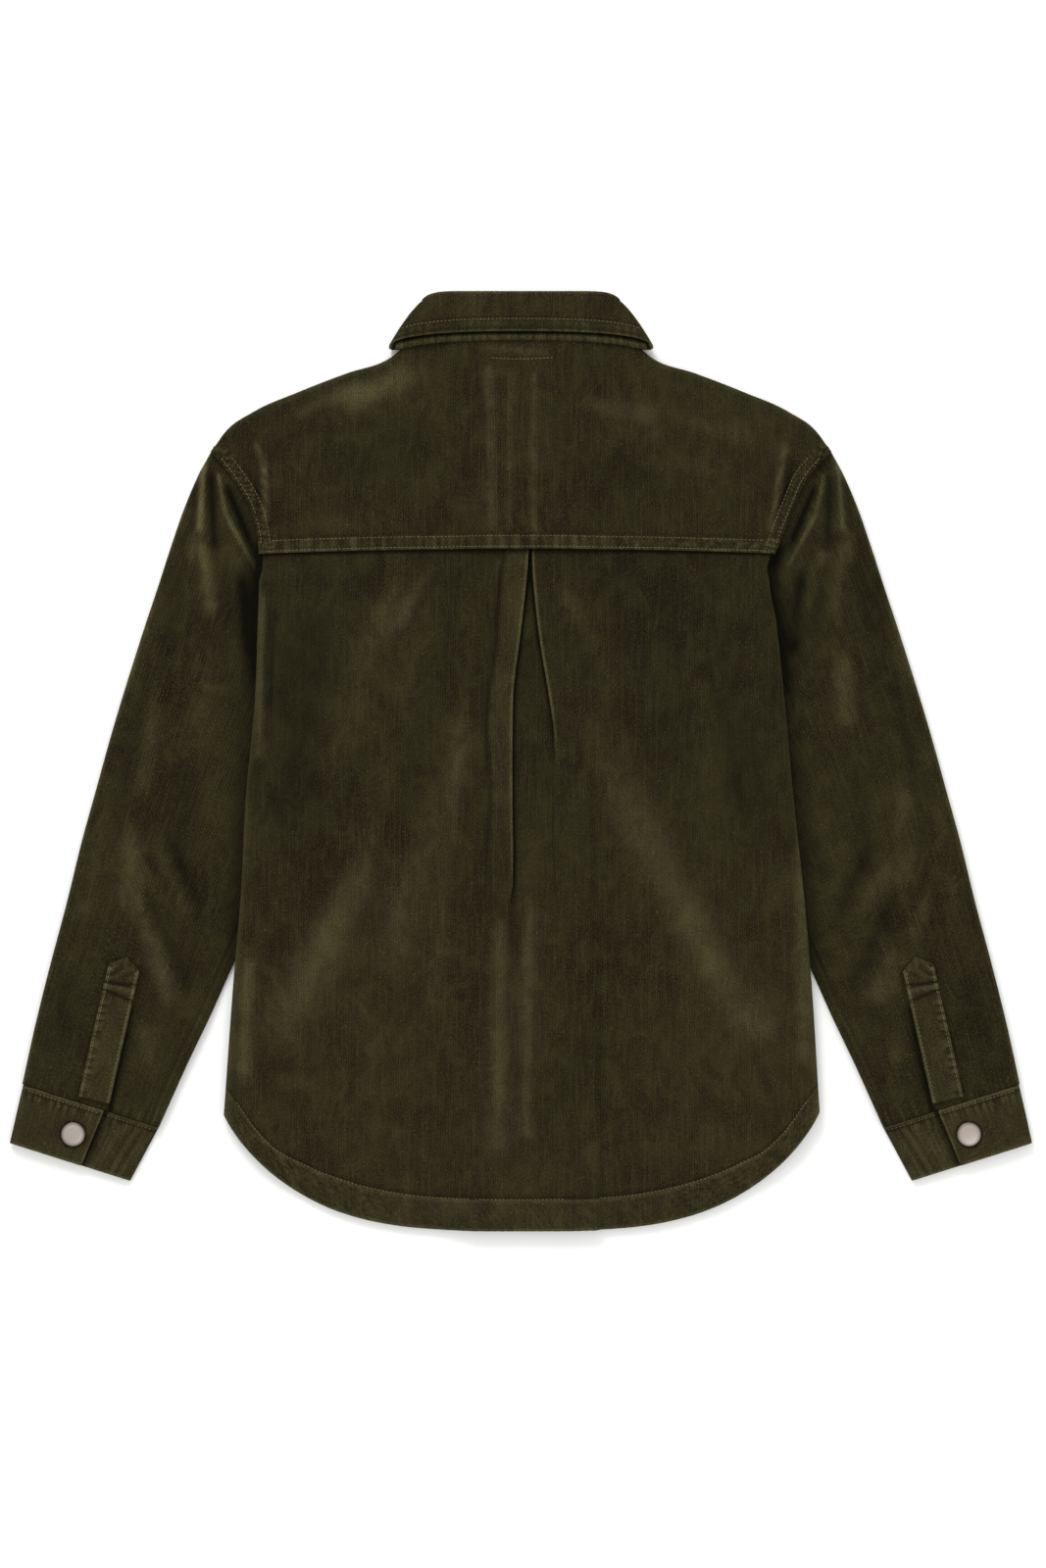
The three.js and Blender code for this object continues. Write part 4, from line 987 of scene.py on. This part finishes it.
def collar_fall():
    """The fall from the roll line to its outer edge, flared at the sides and cut to points in front."""
    at = np.linspace(0, 7, 64)[:, None]
    off, rise, down = (np.interp(at, fall_rows["at"], fall_rows[key]) for key in ("off", "rise", "down"))
    x, z, front, back_part = collar_ring(collar_turns, fall_half(down), off)
    top = STAND_FOOT_Y + STAND_HEIGHT - (FRONT_NECK_DROP + 2) * front ** 1.3 - corner
    edge = fall_edge(back_part) - FALL_POINT_DROP * smooth((front - 0.42) / 0.58)
    y = top + rise + (edge - top - rise) * down
    from_edge = (1 - down) * np.abs(top - edge)
    groove = -0.5 * bell(from_edge - FALL_ROW, 1.2) * back_part
    lip = 0.6 * smooth((8 - from_edge) / 5) * back_part * (1 + 0.2 * gathers(x * 0.6))
    relief = groove + lip + 0.15 * uneven(x, y, 1.3) * back_part
    z = np.where(front > 0, np.maximum(z, COLLAR_CLOTH / 2), z + relief)
    # The tone: paler along the outer edge, a painted highlight on the roll where the fall rises, painted
    # shade in lines 2.8 mm and 10.6 mm in from the edge, the second by the stitch groove, and light and dark
    # ticks painted for the gathers.
    wear_and_painted_light = 0.5 * bell(from_edge, 1.3) + 0.25 * smooth((rise - 1) / 1)
    wear_and_painted_light = wear_and_painted_light - 0.35 * bell(from_edge - 2.8, 1.2) - 0.35 * bell(from_edge - 10.6, 1)
    wear_and_painted_light = wear_and_painted_light + smooth((9 - from_edge) / 2) * 0.2 * gathers(x * 0.7) + 0.07 * gathers(x * 0.24 + 1)
    return cloth("collar_fall", joined(x, y, z), COLLAR_CLOTH, ["collar_fall"], wear_and_painted_light=wear_and_painted_light)


fall = collar_fall()
LIP_CLOTH = 0.4


def under_collar():
    """The collar's under layer rolls out as a narrow lip below the fall's edge: an oval bead that meets the
    fall at both ends."""
    count, steps = 12, 180
    turn = np.linspace(np.pi / 2 + 0.1, 3 * np.pi / 2 - 0.1, steps)[:, None]
    x, z, _, back_part = collar_ring(turn, 95.5, 0.8)
    y = fall_edge(back_part) - 3.2 * smooth(back_part / 0.5)
    around = np.arange(count)[None, :] * 2 * np.pi / count
    fine = 0.25 + 0.75 * smooth(np.minimum(turn - turn[0], turn[-1] - turn) / 0.12)
    mesh_y = y + 3.4 * fine * np.cos(around)
    mesh_z = z + 0.7 + 1.2 * fine * np.sin(around)
    # Painted shade: the lip's upper side, under the fall's edge, is darkened towards near black; light and
    # dark ticks are painted for gathers.
    wear_and_painted_light = 0.2 + 0.2 * gathers(x * 0.8) - 1.1 * smooth((np.cos(around) - 0.1) / 0.4)
    cloth("under_collar_lip", joined(x, mesh_y, mesh_z), LIP_CLOTH, [], joined(x, mesh_y), wear_and_painted_light, ring=True)


under_collar()

# The snaps: pressed caps of nickel-plated brass, tumbled to a satin finish, with a rolled rim.
SNAP_HEIGHT = 2.2
FRONT_SNAP_RADIUS = 7.5
FRONT_SNAP_COUNT = 7
FRONT_SNAP_TOP_Y = 222
FRONT_SNAP_PITCH = 84


def satin_nickel():
    """Tumbled nickel plate: a soft grey metal with a faint warm cast and fine random scuffs, darkened at the
    rolled rim by painted shade.
    """
    material = bpy.data.materials.new("satin_nickel_plate")
    material.use_nodes = True
    tree = material.node_tree
    shader = tree.nodes["Principled BSDF"]
    place = node(tree, "ShaderNodeTexCoord").outputs["Object"]
    scuff = node(tree, "ShaderNodeTexNoise", {"Vector": place}, Scale=900.0, Detail=4.0)
    tone = node(tree, "ShaderNodeMix", {"Factor": scuff.outputs["Fac"]}, data_type="RGBA")
    tone.inputs["A"].default_value = linear("#9d948b")
    tone.inputs["B"].default_value = linear("#b7aea5")
    rough = node(tree, "ShaderNodeMapRange", {"Value": scuff.outputs["Fac"]}, To_Min=0.3, To_Max=0.5)
    # Painted shade: darker at the rim, full tone on the dome, by how far in from the edge a point lies.
    height = node(tree, "ShaderNodeAttribute", attribute_name="dome").outputs["Fac"]
    rim = node(tree, "ShaderNodeMix", {"Factor": height, "B": tone.outputs["Result"]}, data_type="RGBA")
    rim.inputs["A"].default_value = linear("#5d554d")
    tree.links.new(rim.outputs["Result"], shader.inputs["Base Color"])
    tree.links.new(rough.outputs[0], shader.inputs["Roughness"])
    shader.inputs["Metallic"].default_value = 1.0
    return material


nickel = satin_nickel()


def snap(name, place, radius, height, flip):
    """A closed cap turned about its axis: flat back, rolled rim, a shallow valley and a low dome."""
    profile = np.array([(0, 0), (0.93, 0), (0.985, 0.12), (1, 0.32), (0.985, 0.5), (0.94, 0.6), (0.9, 0.6),
                        (0.86, 0.62), (0.7, 0.8), (0.5, 0.91), (0.25, 0.98), (0, 1)])
    count = 48
    turn = np.arange(count) * 2 * np.pi / count
    ring = profile[1:-1]
    xyz = np.stack([np.outer(ring[:, 0] * radius, np.cos(turn)), np.outer(ring[:, 0] * radius, np.sin(turn)),
                    np.repeat(ring[:, 1:] * height, count, axis=1)], axis=-1).reshape(-1, 3)
    points = np.vstack([xyz, [(0, 0, 0), (0, 0, height)]])
    if flip:
        points = points * (1, -1, -1) + (0, 0, height)
    points = (points + place) * MM
    index = np.arange(len(ring) * count).reshape(len(ring), count)
    near, far = index, np.roll(index, -1, axis=1)
    quads = np.stack([near[:-1], far[:-1], far[1:], near[1:]], axis=-1).reshape(-1, 4).tolist()
    below, above = len(xyz), len(xyz) + 1
    quads += [(below, far[0, k], near[0, k]) for k in range(count)]
    quads += [(above, near[-1, k], far[-1, k]) for k in range(count)]
    mesh = bpy.data.meshes.new(name)
    mesh.from_pydata(points.tolist(), [], quads)
    mesh.polygons.foreach_set("use_smooth", np.ones(len(quads), bool))
    # How far in from the rim each point lies, which sets the painted rim shade.
    dome = mesh.attributes.new("dome", "FLOAT", "POINT")
    inward = 1 - np.hypot(*(points / MM - place)[:, :2].T) / radius
    dome.data.foreach_set("value", smooth((inward + 0.02) / 0.3))
    mesh.materials.append(nickel)
    piece = bpy.data.objects.new(name, mesh)
    bpy.context.scene.collection.objects.link(piece)
    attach(piece, "root")
    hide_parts(name)


for word, side in (("left", -1), ("right", 1)):
    spot = cuff_place(SNAP_ACROSS * cuff_width, SNAP_DOWN * CUFF_DEPTH, side)
    foot = CUFF_OUTER + CUFF_CLOTH / 2 + CUFF_CROWN + SEAM_GAP
    snap(f"cuff_snap_{word}", (*spot, foot), SNAP_RADIUS, SNAP_HEIGHT, False)
for k in range(FRONT_SNAP_COUNT):
    spot = (0, FRONT_SNAP_TOP_Y - k * FRONT_SNAP_PITCH, 0)
    snap(f"front_snap_{k + 1}", spot, FRONT_SNAP_RADIUS, FRONT_SNAP_HEIGHT, True)

# The sewing: lockstitches of spun polyester thread, a shade lighter than the cloth and slightly sunk in it.
STITCH_PITCH = 3.0
STITCH_LENGTH = 2.2
THREAD = 0.55


def spun_thread():
    """Spun polyester: a dull olive thread with a fine twist and a trace of sheen."""
    material = bpy.data.materials.new("spun_polyester_thread")
    material.use_nodes = True
    tree = material.node_tree
    shader = tree.nodes["Principled BSDF"]
    place = node(tree, "ShaderNodeTexCoord").outputs["Object"]
    twist = node(tree, "ShaderNodeTexNoise", {"Vector": place}, Scale=300.0, Detail=2.0)
    tone = node(tree, "ShaderNodeMix", {"Factor": twist.outputs["Fac"]}, data_type="RGBA")
    tone.inputs["A"].default_value = linear("#4b452b")
    tone.inputs["B"].default_value = linear("#777050")
    tree.links.new(tone.outputs["Result"], shader.inputs["Base Color"])
    shader.inputs["Roughness"].default_value = 0.7
    shader.inputs["Specular IOR Level"].default_value = 0.25
    return material


thread = spun_thread()


def spot_along(path, arc, at):
    """Points of a path at distances along it, straight between its own points."""
    return np.stack([np.interp(at, arc, path[:, k]) for k in range(3)], axis=-1)


def stitches(name, *paths):
    """Short arched bars of thread at an even pitch along each path of points in mm, joined as one mesh."""
    bar = np.linspace(-0.5, 0.5, 5)
    turn = np.arange(4) * np.pi / 2
    thick = np.sqrt(np.maximum(0.08, 1 - (2 * bar) ** 2))[:, None] * THREAD / 2
    arch = (0.18 * np.cos(np.pi * bar))[:, None]
    local = np.stack([np.repeat(bar[:, None] * STITCH_LENGTH, 4, axis=1), thick * np.cos(turn),
                      thick * np.sin(turn) + arch], axis=-1).reshape(-1, 3)
    ring = np.arange(20).reshape(5, 4)
    faces = np.stack([ring[:-1], np.roll(ring, -1, 1)[:-1], np.roll(ring, -1, 1)[1:], ring[1:]], axis=-1)
    faces = np.vstack([faces.reshape(-1, 4), ring[0][::-1], ring[-1]])
    spots, ways = [], []
    for path in paths:
        arc = np.concatenate([[0], np.cumsum(np.linalg.norm(np.diff(path, axis=0), axis=1))])
        at = np.arange(STITCH_PITCH / 2, arc[-1], STITCH_PITCH)
        way = spot_along(path, arc, at + 0.6) - spot_along(path, arc, at - 0.6)
        spots.append(spot_along(path, arc, at))
        ways.append(way / np.linalg.norm(way, axis=1, keepdims=True))
    spot = np.vstack(spots)
    ahead = np.vstack(ways)
    beside = np.cross((0, 0, 1), ahead)
    beside /= np.linalg.norm(beside, axis=1, keepdims=True)
    up = np.cross(ahead, beside)
    points = (spot[:, None] + local[None, :, :1] * ahead[:, None] + local[None, :, 1:2] * beside[:, None]
              + local[None, :, 2:] * up[:, None])
    quads = faces[None] + 20 * np.arange(len(spot))[:, None, None]
    mesh = bpy.data.meshes.new(name)
    mesh.from_pydata((points.reshape(-1, 3) * MM).tolist(), [], quads.reshape(-1, 4).tolist())
    mesh.materials.append(thread)
    piece = bpy.data.objects.new(name, mesh)
    bpy.context.scene.collection.objects.link(piece)
    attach(piece, "root")


def on_back(x, y):
    """Points on the back panel's outer face."""
    return joined(x, y, back_height(x, y) + hem_relief(x, y) + CLOTH / 2 + 0.05)


def on_yoke(x, y):
    """Points on the yoke's outer face."""
    return joined(x, y, yoke_height(x, y) + CLOTH / 2 + 0.05)


run = np.linspace(-193, 193, 260)
stitches("yoke_stitches", *[on_yoke(run, seam_y(run) + row) for row in SEAM_ROWS])
hem_x = np.linspace(-221, 221, 500)
stitches("hem_stitches", on_back(hem_x, along(hem_row, "x", "y", np.abs(hem_x))))
armhole_rows = []
for side in (-1, 1):
    arm_y = np.linspace(166, 232, 60)
    slope = edge_slope(arm_y, side)
    for inset in (2.2, ARM_BAND - 0.8):
        arm_x = side * (edge_at(arm_y, side) - inset * np.sqrt(1 + slope ** 2))
        armhole_rows.append(on_yoke(arm_x, arm_y))
stitches("armhole_stitches", *armhole_rows)
placket_rows = []
cuff_rows = []
for side in (-1, 1):
    way = (placket_end - placket_top) / np.hypot(*(placket_end - placket_top))
    length = np.hypot(*(placket_end - placket_top))
    for offset in (-10, 10):
        down = np.linspace(1, length * 0.96, 60)
        x = placket_top[0] + way[0] * down + way[1] * offset
        y = placket_top[1] + way[1] * down - way[0] * offset
        z = sleeve_top(x, y, SLEEVE_PUFF, side) + CLOTH * 1.5 + PLACKET_CLEAR
        placket_rows.append(joined(side * x, y, z))
    for first, last, down_at in ((0.04, 0.58, 3.6), (0.63, 0.96, 3.6)):
        across = np.linspace(first, last, 40) * cuff_width
        x, y = cuff_place(across, down_at + 0 * across, side)
        z = (CUFF_OUTER + 0.35 if last < 0.6 else CUFF_INNER + 0.35) + CUFF_CLOTH / 2 + 0 * x
        cuff_rows.append(joined(x, y, z))
stitches("sleeve_placket_stitches", *placket_rows)
stitches("cuff_stitches", *cuff_rows)
back_turn = np.linspace(np.pi / 2 + 0.35, 3 * np.pi / 2 - 0.35, 160)
fall_x, fall_z, _, fall_back = collar_ring(back_turn, fall_half(1 - FALL_ROW / 38), 3.1)
fall_y = fall_edge(fall_back) + FALL_ROW
stitches("collar_stitches", joined(fall_x, fall_y, fall_z + COLLAR_CLOTH / 2))
tack_x = np.linspace(-23, 24, 40)
stitches("neck_stitches", on_yoke(tack_x, 307 + 0.002 * tack_x ** 2))
